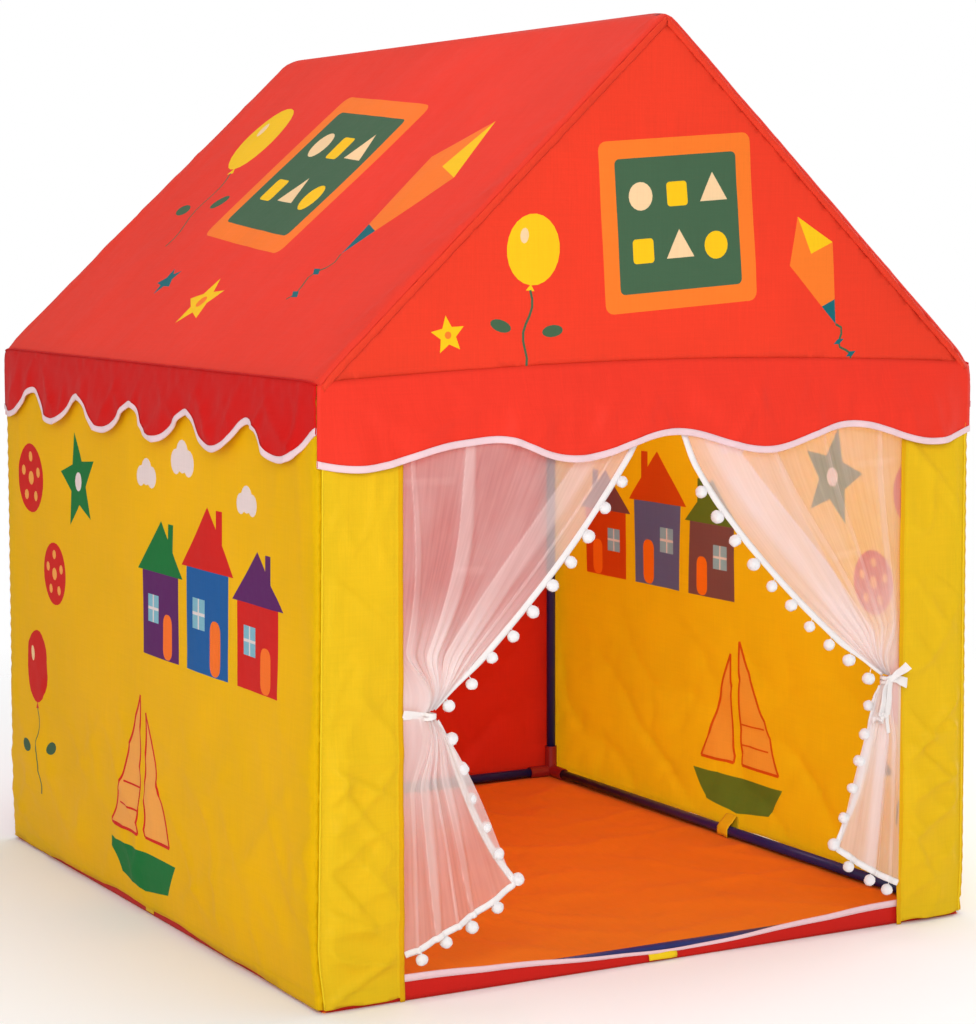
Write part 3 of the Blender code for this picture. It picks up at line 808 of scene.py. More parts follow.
def finish_strip(name, shape, body, look, outwards=None, node=None, thickness=cloth_thickness):
    """A strip of cloth from a bmesh grid, with flat coordinates along and across it."""
    mesh = mesh_from(name, shape)
    uv = mesh.uv_layers["flat"]
    for loop in mesh.loops:
        spot = mesh.vertices[loop.vertex_index].co
        uv.data[loop.index].uv = (spot.x + spot.y, spot.z)
    if outwards is not None:
        face_outwards(mesh, outwards)
    piece = add_piece(name, mesh, body, looks[look], node)
    thicken(piece, thickness)
    return piece


def bridge(target, ring, after, closed=True):
    """Faces between two rings of points."""
    count = len(ring)
    for step in range(count if closed else count - 1):
        ahead = (step + 1) % count
        target.faces.new((ring[step], ring[ahead], after[ahead], after[step]))


def loft(target, rings):
    """A closed solid through rings of points, with flat ends."""
    for ring, after in zip(rings, rings[1:]):
        bridge(target, ring, after)
    target.faces.new(rings[0][::-1])
    target.faces.new(rings[-1])


def way_along(points, index):
    """The direction of a line at one of its points."""
    return (points[min(index + 1, len(points) - 1)] - points[max(index - 1, 0)]).normalized()


def tube_along(target, points, radius, sides_count=6):
    """A round tube through points, added to a bmesh."""
    rings = []
    for index, point in enumerate(points):
        along = way_along(points, index)
        first = along.orthogonal().normalized()
        second = along.cross(first)
        angles = [2 * math.pi * step / sides_count for step in range(sides_count)]
        spots = [point + radius * (math.cos(a) * first + math.sin(a) * second) for a in angles]
        rings.append([target.verts.new(spot) for spot in spots])
    loft(target, rings)


def add_ridge(name, points, radius, look):
    """A sewn seam that stands up as a thin round ridge."""
    shape = bmesh.new()
    tube_along(shape, points, radius, 8)
    add_piece(name, mesh_from(name, shape), "cover", looks[look], None)


# Folds. Those of a cloth are (height, seed, size, how many times longer than wide, lean in
# degrees): waves rise and fall, and creases only rise, as narrow ridges.

crease_sharpness = 3.2


def waves(a, b, seed, size, stretch=1.0, lean=0.0):
    """Smooth noise from -1 to 1, drawn out along a leaning direction."""
    cos, sin = math.cos(math.radians(lean)), math.sin(math.radians(lean))
    along, across = a * cos + b * sin, b * cos - a * sin
    return noise.noise(Vector((along / (size * stretch), across / size, seed)))


def creases(a, b, seed, size, stretch, lean):
    """Narrow ridges from 0 to 1 along a leaning direction."""
    return (1 - min(1.0, crease_sharpness * abs(waves(a, b, seed, size, stretch, lean)))) ** 2


def summed(kind, a, b, seed, folds):
    """The height of several waves or creases, whose seeds count from one seed."""
    return sum(height * kind(a, b, seed + own, *shape) for height, own, *shape in folds)


def groove(distance, depth=seam_depth):
    """The dip of a seam or a row of stitches, by the distance from it."""
    return -depth * max(0.0, 1 - abs(distance) / seam_half_width)


def puckers(distance, along, seed, reach=0.022, size=0.016):
    """Small gathers that run into a seam."""
    return math.exp(-abs(distance) / reach) * pucker_height * waves(along, distance, seed, size, 1.0)


def round_corners(a, length):
    """Where a point of a side wall lies that goes round both its ends: along, inwards, and
    its outward direction as (along, out)."""
    flip = a > length / 2
    past = (a - length if flip else -a) + corner_radius
    if past <= 0:
        return a, 0.0, (0.0, 1.0)
    quarter = corner_radius * math.pi / 2
    angle = min(past / corner_radius, math.pi / 2)
    along = length - corner_radius + corner_radius * math.sin(angle)
    inwards = corner_radius * (1 - math.cos(angle)) + max(0.0, past - quarter)
    tilt = (math.sin(angle), math.cos(angle))
    if flip:
        return along, inwards, tilt
    return length - along, inwards, (-tilt[0], tilt[1])


# How far the side walls stand out at their hem, at the front and at the back
flare_most = {-1: (0.014, 0.004), 1: (0.005, 0.003)}
flare_top = 0.74
flare_held = 0.09
flare_bend = 1.3
# The share of a fold or of the flare that is left at a sewn hem
held_share = 0.3
# How far cloth may stand out where a valance's hem hangs over it, and further up
under_hem, under_top = 0.004, -0.0005


def flare(side_sign, y, z):
    """How far a side wall hangs out of plumb towards its hem, most at the front."""
    most = mix(*flare_most[side_sign], (y + half_depth) / (2 * half_depth))
    held = mix(held_share, 1.0, smooth_step(z / flare_held))
    return side_sign * most * held * max(0.0, 1 - z / flare_top) ** flare_bend


def under_valance(out, b, ramp):
    """Cloth lies flat where a valance hangs over it."""
    if b <= valance_foot:
        return out
    return min(out, mix(under_hem, under_top, smooth_step((b - valance_foot) / ramp)))


def hem_groove(b):
    """The row of stitches over a bottom hem."""
    return groove(b - hem_clearance - hem_width, stitch_depth)


wall_waves = ((0.0036, 0, 0.20, 1.0, 0), (0.0013, 3, 0.05, 3.0, 80))
wall_low_creases = ((0.0066, 7, 0.12, 2.2, 32), (0.0044, 11, 0.08, 2.5, -38))
wall_side_creases = ((0.0022, 17, 0.09, 4.0, 84),)


def wall_relief(a, b, length, seed):
    """How far a wall stands out from its plane: slack folds, mostly low, and sewn edges."""
    to_edge = min(a, length - a)
    out = summed(waves, a, b, seed, wall_waves)
    out += smooth_step(1.15 - b / 0.42) * summed(creases, a, b, seed, wall_low_creases)
    out += summed(creases, a, b, seed, wall_side_creases) * smooth_step(1.2 - to_edge / 0.16)
    out += puckers(to_edge, b, seed + 23) + puckers(b - hem_width, a, seed + 29, 0.03, 0.03)
    out *= smooth_step(to_edge / 0.02) * mix(held_share, 1.0, smooth_step(b / flare_held))
    out = max(out, -deepest_dip - 0.004 * smooth_step((b - 0.06) / 0.1))
    return under_valance(out, b, 0.09) + hem_groove(b)


def hem_outline(start, end, top, length):
    """A wall's outline, with its lower edge lifted a little and uneven."""
    points = []
    for share in shares(40):
        lift = hem_lift * math.sin(math.pi * share) ** 2 + hem_ripple * math.sin(share * 31 + length)
        points.append((mix(start, end, share), hem_clearance + max(0.0, lift)))
    return points + [(end, top), (start, top)]


def hem_lines(start, end):
    """The sewn line of a bottom hem, as three lines that hold its groove."""
    level = hem_clearance + hem_width
    return [[(start, level + gap), (end, level + gap)] for gap in (-seam_half_width, 0.0, seam_half_width)]


def build_side_walls():
    """The printed side walls, which turn the corners at both ends."""
    length = 2 * half_depth
    start = -corner_turn - corner_radius * (math.pi / 2 - 1)
    end = length - start
    for side, sign in sides.items():

        def place(a, b):
            along, inwards, tilt = round_corners(a, length)
            seam = groove(min(a - start, end - a))
            out = wall_relief(min(max(a, 0.0), length), b, length, 5.0 + sign) + seam - cloth_thickness / 2
            across = sign * (half_width - inwards + out * tilt[1])
            forward = sign * (along + out * tilt[0] - half_depth)
            return across + flare(sign, forward, b), forward, b

        outline = hem_outline(start, end, eave_height - wall_top_gap, length)
        lines = hem_lines(start + line_inset, end - line_inset)
        # The inner faces take the lighter yellow, which is painted light.
        kinds = ("wall", "wall", "wall inside")
        cloth(f"wall_{side}", outline, place, (sign, 0, 0), *kinds, wall_prints(), lines)


# Sharp folds in the jambs: both ends as (across, up), and how far each stands out
jamb_folds = {
    "left": (
        ((0.016, 0.320), (0.112, 0.272), 0.0060), ((0.034, 0.292), (0.100, 0.208), 0.0050),
        ((0.012, 0.286), (0.040, 0.300), 0.0050), ((0.062, 0.176), (0.090, 0.212), 0.0040),
        ((0.020, 0.182), (0.078, 0.108), 0.0060), ((0.010, 0.138), (0.098, 0.092), 0.0056),
        ((0.012, 0.070), (0.060, 0.064), 0.0030), ((0.030, 0.560), (0.100, 0.500), 0.0024),
    ),
    "right": (
        ((0.006, 0.292), (0.104, 0.262), 0.0056), ((0.018, 0.190), (0.096, 0.262), 0.0048),
        ((0.052, 0.236), (0.112, 0.200), 0.0040), ((0.060, 0.060), (0.112, 0.150), 0.0048),
        ((0.010, 0.470), (0.064, 0.510), 0.0030), ((0.014, 0.610), (0.100, 0.700), 0.0036),
        ((0.010, 0.120), (0.050, 0.086), 0.0040),
    ),
}
jamb_waves = ((0.0042, 0, 0.10, 1.6, 80),)
jamb_low_creases = ((0.0075, 5, 0.085, 2.2, -42), (0.0060, 9, 0.07, 2.4, 36))
jamb_high_creases = ((0.0042, 11, 0.05, 3.0, 70),)
jamb_swell, jamb_swell_at, jamb_swell_reach = 0.0050, 0.16, 0.10
# How far a fold's crisp upper side reaches, as a share of its soft lower side
crisp_share = 0.45


def fold_line(a, b, start, end, height, reach=0.017):
    """A fold between two points: crisp above, soft below, and fading at its ends."""
    along = (end[0] - start[0], end[1] - start[1])
    size = math.hypot(*along)
    share = ((a - start[0]) * along[0] + (b - start[1]) * along[1]) / size**2
    away = ((b - start[1]) * along[0] - (a - start[0]) * along[1]) / size
    away *= math.copysign(1.0, along[0])
    past = max(0.0, -share, share - 1) * size
    if past > fold_end:
        return 0.0
    side = max(0.0, 1 - abs(away) / (reach * crisp_share if away > 0 else reach))
    tall = mix(0.55, 1.0, math.sin(math.pi * min(1.0, max(0.0, share))))
    return height * side * (1 - past / fold_end) * tall


def jamb_relief(side, a, b, seed):
    """A jamb hangs freer than a wall: bold leaning folds that grow towards the hem."""
    low = smooth_step(1.3 - b / 0.55)
    out = summed(waves, a, b, seed, jamb_waves)
    out += low * summed(creases, a, b, seed, jamb_low_creases)
    out += summed(creases, a, b, seed, jamb_high_creases) * (1 - low)
    out += jamb_swell * bell(b - jamb_swell_at, jamb_swell_reach) * smooth_step(a / jamb_width)
    out += sum(fold_line(a, b, *fold) for fold in jamb_folds[side])
    out += puckers(a, b, seed + 13)
    out *= smooth_step((a - 0.008) / 0.02) * mix(held_share, 1.0, smooth_step((jamb_width - a) / 0.03))
    out = under_valance(max(out, -deepest_dip), b, 0.08)
    out += groove(a) + groove(jamb_width - a - jamb_fold_width, stitch_depth)
    return out + hem_groove(b)


def build_jambs():
    """The bright yellow strips beside the doorway."""
    start = corner_radius + corner_turn
    top = eave_height - jamb_top_gap
    for side, sign in sides.items():

        def place(a, b):
            out = jamb_relief(side, a, b, 31.0 + sign)
            across = sign * (half_width - a) + flare(sign, -half_depth, b) * (1 - 0.7 * a / jamb_width)
            return across, -half_depth - out + cloth_thickness / 2, b

        outline = []
        for share in shares(14):
            lift = jamb_hem_ripple * math.sin(share * 9 + sign)
            outline.append((mix(start, jamb_width, share), hem_clearance + max(0.0, lift)))
        outline += [(jamb_width, top), (start, top)]
        lines = hem_lines(start + 0.001, jamb_width - 0.001)
        for gap in (jamb_fold_width - seam_half_width, jamb_fold_width, jamb_fold_width + seam_half_width):
            lines.append([(jamb_width - gap, 0.03), (jamb_width - gap, eave_height - 0.01)])
        fold = [(hem_edge, box((jamb_width - 0.001, eave_height / 2), 0.007, eave_height))]
        cloth(f"jamb_{side}", outline, place, (0, -1, 0), "jamb", "jamb", None, fold, lines, jamb_step)
        points = []
        for share in shares(80):
            z = mix(hem_clearance + 0.002, eave_height - 0.09, share)
            wobble = seam_wobble * noise.noise(Vector((z / 0.02, sign, 9.0)))
            spot = Vector((sign * (half_width - start + wobble), -half_depth - surface_gap, z))
            points.append(spot + Vector((flare(sign, -half_depth, z), 0, 0)))
        add_ridge(f"jamb_seam_{side}", points, jamb_seam_radius, "loop")


def rake_line(a):
    """The height of the roof's outer face over a distance from the left edge."""
    return eave_height + (half_width - abs(a - half_width)) * math.tan(slope)


def to_rake_from(a, b, down):
    """How far a point lies from a line some way down from the roof's outer face."""
    return (rake_line(a) - down - b) * math.cos(slope)


gable_waves = ((0.0028, 50.0, 0.16, 1.0, 0), (0.0012, 53.0, 0.05, 2.0, 70))
gable_peak_creases = ((0.0032, 57.0, 0.045, 6.0, 88),)


def build_gable():
    """The front gable, sewn to the roof's turned edge, with folds under the peak."""
    down = (rake_radius + rake_width - gable_lap) / math.cos(slope)
    width = 2 * half_width

    def place(a, b):
        to_rake = to_rake_from(a, b, down)
        under_peak = math.exp(-abs(a - half_width) / 0.10) * smooth_step((b - 1.0) / 0.25)
        seam = eave_height + front_seam_bow * math.sin(math.pi * a / width)
        out = summed(waves, a, b, 0.0, gable_waves)
        out += under_peak * summed(creases, a, b, 0.0, gable_peak_creases)
        out += puckers(to_rake, a * 1.4, 61.0) + puckers(b - seam, a, 67.0, 0.03, 0.02)
        by_rake = smooth_step((to_rake - gable_lap) / 0.04) * 0.9 + 0.1
        out *= by_rake * smooth_step((b - seam + gable_foot_gap) / 0.02)
        out += groove(to_rake - gable_lap) - seam_depth * (1 - smooth_step(to_rake / gable_lap))
        return a - half_width, -half_depth - max(out, -0.003) + cloth_thickness / 2, b

    outline = []
    for share in shares(60):
        x = share * 2 * half_width
        y = eave_height - gable_foot_gap + front_seam_bow * math.sin(math.pi * share)
        if y < rake_line(x) - down:
            outline.append((x, y))
    outline.append((half_width, peak_height - down))
    cloth("gable_front", outline, place, (0, -1, 0), "gable", "gable", "gable inside", gable_prints())


def build_back_wall():
    """The plain back wall with its gable, in one piece."""
    down = (rake_radius + rake_clearance) / math.cos(slope)
    width = 2 * half_width
    start = corner_radius + corner_turn

    def place(a, b):
        to_rake = to_rake_from(a, b, down)
        out = wall_relief(a, b, width, 71.0) * smooth_step(to_rake / 0.03) + groove(to_rake)
        x = half_width - a
        x += flare(-1 if x < 0 else 1, half_depth, b) * abs(x / half_width) ** 3
        return x, half_depth + out - cloth_thickness / 2, b

    outline = hem_outline(start, width - start, eave_height, width)[:-2]
    outline += [(width - start, rake_line(width - start) - down), (half_width, peak_height - down)]
    outline += [(start, rake_line(start) - down)]
    lines = hem_lines(start + line_inset, width - start - line_inset)
    cloth("wall_back", outline, place, (0, 1, 0), "back", "gable", None, (), lines)


# Where the roof's straight slope meets its round ridge, as (in from the wall face, height)
ridge_start = Vector((roof_to_axis * math.sin(slope), ridge_z + roof_to_axis * math.cos(slope)))
straight_length = math.hypot(half_width - ridge_start.x, ridge_start.y - eave_height)
roof_length = straight_length + roof_to_axis * slope


def roof_profile(up):
    """A point of the roof's outer face by its distance up from the eave, as (in from the
    wall face, height), with its outward direction as (out, up)."""
    if up <= straight_length:
        point = Vector((half_width - up * math.cos(slope), eave_height + up * math.sin(slope)))
        return point, Vector((math.sin(slope), math.cos(slope)))
    angle = slope - (up - straight_length) / roof_to_axis
    out = Vector((math.sin(angle), math.cos(angle)))
    return Vector((0, ridge_z)) + roof_to_axis * out, out


def build_roof():
    """The printed roof panels, which round over the ridge and turn down at both rakes."""
    length = 2 * half_depth
    quarter = rake_radius * (math.pi / 2 - 1)
    bends = [rake_radius * (1 - math.pi / 2 * share) for share in (0.0, 0.33, 0.67)]
    lines = [[(a, line_inset), (a, roof_length - line_inset)] for a in bends + [length - a for a in bends]]
    far = length + quarter
    outline = [(-quarter, 0.0), (far, 0.0), (far, roof_length), (-quarter, roof_length)]
    for side, sign in sides.items():

        def place(a, up):
            flip = a > length / 2
            past = (a - length if flip else -a) + rake_radius
            angle = min(max(past, 0.0) / rake_radius, math.pi / 2)
            along = max(a, length - a)
            if past > 0:
                along = length - rake_radius + rake_radius * math.sin(angle)
            middle, normal = roof_profile(up)
            to_edge = max(0.0, rake_radius - past)
            out = 0.0030 * waves(a, up, 80.0 + sign, 0.22) + 0.0013 * waves(a, up, 83.0, 0.06, 3.0, 88)
            near = smooth_step(1 - to_edge / 0.10)
            out += 0.0030 * near * creases(a, up, 87.0 + sign, 0.05, 3.0, 65 if flip else -65)
            out += puckers(to_edge, up, 89.0 + sign, 0.03) + puckers(up, a, 93.0 + sign, 0.03)
            out *= smooth_step(to_edge / 0.015) * 0.85 + 0.15
            out = max(out * smooth_step(up / 0.03) * smooth_step((roof_length - up) / 0.02), -seam_depth)
            spot = middle - normal * (rake_radius * (1 - math.cos(angle)) - out + cloth_thickness / 2)
            forward = along if flip else length - along
            return sign * spot.x, sign * (forward - half_depth), spot.y

        kinds = ("roof", "roof", "roof inside")
        cloth(f"roof_{side}", outline, place, (sign, 0, 1), *kinds, roof_prints(), lines)


def build_rake_facings():
    """The roof's edge, turned down over the rafter and sewn to the front gable."""
    reach = half_width / math.cos(slope)
    for side, sign in sides.items():

        def place(share, down):
            depth = rake_radius + down * rake_width
            along = share * (reach - depth * math.tan(slope))
            gather = math.exp(-along / 0.12)
            out = 0.0018 * waves(along, depth, 101.0 + sign, 0.014, 1.0) * (0.5 + gather)
            out += 0.0012 * creases(along, depth, 103.0 + sign, 0.012, 1.6, 70)
            out += 0.0018 * math.sin(math.pi * down) + surface_gap
            x = half_width - along * math.cos(slope) - depth * math.sin(slope)
            z = eave_height + along * math.sin(slope) - depth * math.cos(slope)
            return sign * max(x, 0.0002), -half_depth - out + cloth_thickness / 2, z

        finish_strip(f"rake_facing_{side}", grid_of(90, 5, place), "cover", "facing", (0, -1, 0))


def build_eave_seams():
    """A thin sewn ridge where the roof meets each side wall and its valance."""
    for side, sign in sides.items():
        points = []
        for share in shares(120):
            y = mix(-half_depth + 0.001, half_depth - 0.001, share)
            wobble = seam_wobble * noise.noise(Vector((y / 0.03, sign, 5.0)))
            points.append(Vector((sign * (half_width + 0.0006 + wobble), y, eave_height + 0.0004 + wobble)))
        # This seam takes the side valance's darker red, which is painted shade.
        add_ridge(f"eave_seam_{side}", points, eave_seam_radius, "side valance")


def soften_corners():
    """The cover's cloth rounds over the frame's corners, where it would come to points."""
    corners = []
    for y in (-1, 1):
        for x in (-1, 1):
            sink = Vector((-0.35 * x, -0.35 * y, -0.87)) * corner_sink
            corners.append((Vector((x * half_width, y * half_depth, eave_height)), sink))
        sink = Vector((0, -0.35 * y, -0.94)) * peak_sink
        corners.append((Vector((0, y * half_depth, peak_height)), sink))
    for piece in cover_pieces:
        for vert in piece.data.vertices:
            for corner, sink in corners:
                near = 1 - (vert.co - corner).length / corner_reach
                if near > 0:
                    vert.co += sink * near**3
        piece.data.update()


# Valances

slack_waves = ((0.0040, 0, 0.09, 1.0, 0), (0.0018, 4, 0.03, 2.0, 75))
slack_creases = ((0.0042, 5, 0.07, 2.5, 35), (0.0036, 6, 0.08, 2.5, -50))
upright_crease = {True: 0.0022, False: 0.0005}
# The tape folded over a hem, as (share of its height, which face it lies on)
binding_profile = (
    (0.0, 1.0), (0.35, 1.0), (0.75, 1.0), (1.0, 0.9), (1.06, 0.0), (1.0, -0.9), (0.75, -1.0), (0.0, -1.0),
)


def valance_point(end_wall, along_share, down_share, seed):
    """A point of a valance's sheet: how far along, how far out and how high."""
    if end_wall:
        length, drop, scallop = 2 * half_width, valance_drop, front_scallop
        wave_count, phase, bow, point = front_waves, front_phase_share, front_seam_bow, 0.0
        drift = front_drift_share * math.sin(math.pi * along_share)
        drift += front_skew_share * bell(along_share - front_skew_at_share, front_skew_spread_share)
    else:
        length, drop, scallop = 2 * half_depth, side_drop, side_scallop
        wave_count, phase, bow, point = side_waves, side_phase_share, 0.0, side_point_share
        drift = 0.0
    turn = 2 * math.pi * ((along_share - drift) * wave_count - phase)
    wave = math.cos(turn) - point * math.cos(2 * turn)
    seam_z = eave_height - 0.0005 + bow * math.sin(math.pi * along_share)
    z = mix(seam_z, eave_height - drop - scallop * wave, down_share)
    fade = smooth_step(min(along_share, 1 - along_share) * length / flare_fade)
    lift = flare_least_share + (1 - flare_least_share) * (1 + wave) / 2
    out = valance_offset + valance_flare * fade * lift * down_share**flare_power
    a = along_share * length
    slack = summed(waves, a, z, seed, slack_waves)
    slack += summed(creases, a, z, seed, slack_creases)
    slack += upright_crease[end_wall] * creases(a, z, seed + 8, 0.05, 4.0, 88)
    out += fade * slack * smooth_step(down_share * 1.5)
    out += 1.5 * puckers(seam_z - z, a, seed + 9, 0.03) + groove(seam_z - z, 0.0010)
    return a - length / 2, max(out, 0.0005), z


def add_valance(place, sign, end_wall, seed):
    """A valance and the white tape folded over its hem."""
    columns, rows = 170, 16
    last = len(binding_profile) - 1

    def world(along, out, z):
        if end_wall:
            return Vector((along, sign * (half_depth + out), z))
        return Vector((sign * (half_width + out), along, z))

    def sheet_point(share, down):
        return world(*valance_point(end_wall, share, down, seed))

    def tape_point(share, round_share):
        down, face = binding_profile[round(round_share * last)]
        seam_z, hem_z = (valance_point(end_wall, share, level, seed)[2] for level in (0.0, 1.0))
        drop = (1 - down) * binding_height
        along, out, _ = valance_point(end_wall, share, 1 - max(0.0, drop) / (seam_z - hem_z), seed)
        return world(along, out + face * (cloth_thickness + binding_bulge), hem_z + drop)

    outwards = (0, sign, 0) if end_wall else (sign, 0, 0)
    name = f"valance_{place}"
    # The side valances take the darker red that is painted shade.
    look = "valance" if end_wall else "side valance"
    shape = grid_of(columns, rows, sheet_point)
    sheet = finish_strip(name, shape, "cover", look, outwards, name)
    name = f"valance_binding_{place}"
    tape = grid_of(columns, last, tape_point)
    binding = finish_strip(name, tape, "cover", "edging", None, name, tape_thickness)


# Curtains


def upper_edge(side, down):
    """The inner edge of an upper curtain: distance in from the jamb, and height."""
    first = door_half - curtain_meeting_gap / 2
    last = tie_inset[side] + neck_half_width
    bottom = tie_height[side] + bunch_radius + bunch_gap
    across = [mix(last, first, share) for share in edge_across_shares[side]]
    height = [mix(curtain_top, bottom, share) for share in edge_down_shares[side]]
    return bezier(across, down), bezier(height, down)


def door_place(side, point):
    """World place of a point given in from the jamb, inwards and height."""
    place, inwards, z = point
    return Vector((sides[side] * (door_half - place), inwards - half_depth, z))


# Pleats that lie over the sheet: shares across it at its top and bottom, half widths at its
# top, middle and bottom, how tall they stand and how dense they are
drape_pleats = {
    "left": (
        (0.07, 0.17, 0.003, 0.014, 0.05, 0.0014, 0.12), (0.30, 0.44, 0.006, 0.038, 0.12, 0.0032, 0.26),
        (0.88, 0.70, 0.020, 0.085, 0.17, 0.0036, 0.26), (0.955, 0.88, 0.003, 0.006, 0.04, 0.0014, 0.16),
    ),
    "right": (
        (0.13, 0.20, 0.004, 0.020, 0.06, 0.0018, 0.16), (0.40, 0.38, 0.005, 0.012, 0.05, 0.0014, 0.10),
        (0.90, 0.72, 0.034, 0.130, 0.22, 0.0036, 0.28), (0.66, 0.54, 0.004, 0.020, 0.06, 0.0020, 0.14),
    ),
}
tail_pleats = {
    "left": (
        (0.30, 0.30, 0.10, 0.070, 0.030, 0.0036, 0.22), (0.46, 0.47, 0.04, 0.014, 0.012, 0.0026, 0.14),
        (0.66, 0.62, 0.08, 0.050, 0.014, 0.0030, 0.16), (0.12, 0.10, 0.04, 0.020, 0.012, 0.0020, 0.10),
    ),
    "right": (
        (0.20, 0.16, 0.10, 0.050, 0.040, 0.0030, 0.16), (0.56, 0.50, 0.16, 0.150, 0.120, 0.0036, 0.22),
        (0.36, 0.34, 0.05, 0.020, 0.016, 0.0022, 0.12),
    ),
}
# Heights of the soft folds between the pleats: broad, uneven and fine
drape_broad, drape_uneven, drape_fine = 0.0018, 0.0012, 0.0024
tail_broad, tail_uneven, tail_fine = 0.0022, 0.0008, 0.0018
# Creases pressed in across a drape: how far down, and from where to where across
pressed_lines = ((0.29, 0.02, 0.30), (0.21, 0.50, 0.72), (0.55, 0.35, 0.60))
pressed_cover, pressed_half_share = 0.09, 0.014
edge_cover, turned_cover, folded_cover, gathered_cover = 0.20, 0.14, 0.26, 0.22
tail_top_cover, tie_cover, inner_cover = 0.42, 0.48, 0.06


def pleat_shares(pleats, across, down):
    """How far a point stands up on the pleats, and how much denser it looks there. A pleat
    has one crisp edge and one that fades out."""
    height, cover = 0.0, 0.0
    for top, bottom, top_half, middle_half, bottom_half, rise, weight in pleats:
        centre = mix(top, bottom, smooth_step(down * 1.2))
        half = bezier((top_half, middle_half, middle_half, bottom_half), down)
        place = (across - centre) / half
        if abs(place) < 1.8:
            height += rise * smooth_step((1.6 - abs(place)) / 0.9)
            cover += weight * smooth_step((1.0 - abs(place)) / (0.14 if place < 0 else 0.75))
            cover += edge_cover * max(0.0, 1 - abs(place + 0.93) / max(0.08, 0.003 / half))
    return height, cover


def bunched(side, across, share, outer):
    """A place across a curtain, of which a share of the way most is drawn into the tie and
    the rest spans from the jamb as a web."""
    inner = tie_inset[side] + neck_half_width
    reach = (tie_inset[side] - neck_half_width - outer) / (inner - outer)
    if across < web_share:
        tight = reach * across / web_share
    else:
        tight = mix(reach, 1, (across - web_share) / (1 - web_share))
    return mix(across, tight, share)


def drape_point(side, across, down):
    """A point of an upper curtain: nearly flat, with pleats that gather into the tie. Its
    outer edge lies behind the jamb."""
    inner, inner_z = upper_edge(side, down)
    bottom = tie_height[side] + bunch_radius * bunch_overlap_share
    outer_z = mix(curtain_top, bottom, down)
    narrowed = smooth_step((down - narrow_from_share) / (1 - narrow_from_share))
    place = mix(-jamb_cover, inner, bunched(side, across, narrowed, -jamb_cover))
    emerge = smooth_step((down - emerge_from_share) / emerge_length_share)
    gathered = smooth_step((down - 0.5) / 0.5)
    seed = 120.0 + sides[side]
    warp = across + 0.035 * waves(across * 3, down * 0.8, seed, 1.0)
    fold = drape_broad * math.cos(2 * math.pi * 3.5 * warp)
    fold += drape_uneven * waves(across * 5, down * 2, seed + 2, 1.0)
    fine = math.cos(2 * math.pi * 12 * warp + 2 * waves(across * 4, down, seed + 5, 1.0))
    fold += drape_fine * gathered * fine
    height, _ = pleat_shares(drape_pleats[side], across, down)
    fold -= height * mix(0.4, 1.0, emerge) * (1 - 0.5 * gathered)
    depth = mix(header_depth, drape_depth, emerge) + fold
    reach = mix(0.022, tie_inset[side] + 0.004, narrowed)
    depth = mix(jamb_clear, depth, smooth_step((place + 0.002) / reach))
    return place, depth, mix(outer_z, inner_z, across)


def turn_back(down):
    """How much of its turn a tail's inner edge has, at a share of its height."""
    return math.sin(math.pi * down**0.8)


def tail_point(side, across, down):
    """A point of a tail, with pleats that open out from the tie."""
    top = tie_height[side] - bunch_radius * bunch_overlap_share
    spread = smooth_step(down / tail_spread_share)
    inner = mix(tie_inset[side] + neck_half_width, tail_inner_reach[side], down)
    inner += tail_bulge[side] * turn_back(down)
    place = mix(tail_side_gap, inner, bunched(side, across, 1 - spread, tail_side_gap))
    outer_z, inner_z = (mix(top, height[side], down) for height in (tail_outer_height, tail_inner_height))
    seed = 140.0 + sides[side]
    warp = across + 0.04 * waves(across * 3, down, seed, 1.0)
    fold = tail_broad * math.cos(2 * math.pi * 3.2 * warp)
    fold += tail_uneven * waves(across * 6, down * 2, seed + 2, 1.0)
    fold += tail_fine * (1 - smooth_step(down / 0.5)) * math.cos(2 * math.pi * 9 * warp)
    height, _ = pleat_shares(tail_pleats[side], across, down)
    sag = tail_sag * math.sin(math.pi * across) * down
    edge = 1 - smooth_step(place / 0.018)
    depth = mix(drape_depth + fold - height, tail_edge_depth[side], edge)
    return place, depth, mix(outer_z, inner_z, across) - sag


def turned_point(side, across, down):
    """A point of a tail's trim: its inner edge is turned back behind the tail."""
    back = turn_back(down) if down < 1 else 0.0
    place, inwards, z = tail_point(side, across - turned_share[side] * back, down)
    return place, inwards + turned_depth * back, z


def density(side, across, down, tail):
    """How much denser than flat cloth the curtain looks, on pleats and near the tie."""
    right = side == "right"
    _, cover = pleat_shares((tail_pleats if tail else drape_pleats)[side], across, down)
    if tail:
        under = 1 - turned_share[side] * turn_back(down)
        doubled = turned_cover * smooth_step((across - under) / 0.02)
        doubled += folded_cover * smooth_step((across - 0.38) / 0.04) if right else 0.0
        return cover + doubled + tail_top_cover * (1 - smooth_step(down * 1.4))
    if right:
        band = smooth_step((across - 0.60) / 0.03) * smooth_step((1.02 - across) / 0.10)
        cover += gathered_cover * band * smooth_step(down * 2.5)
    for level, start, end in pressed_lines:
        within = smooth_step((across - start) / 0.06) * smooth_step((end - across) / 0.06)
        away = abs(down - level - 0.02 * across)
        cover += pressed_cover * within * max(0.0, 1 - away / pressed_half_share)
    at_tie = tie_cover * smooth_step((down - 0.58) / 0.42)
    by_edge = inner_cover * smooth_step((across - 0.6) / 0.4) * smooth_step(down * 2)
    return cover * mix(0.8, 1.0, down) + at_tie + by_edge


def run_length(side, formula, route):
    """The length of a line over a curtain, by its shares across and down."""
    points = [door_place(side, formula(side, *spot)) for spot in route]
    return sum((b - a).length for a, b in zip(points, points[1:]))


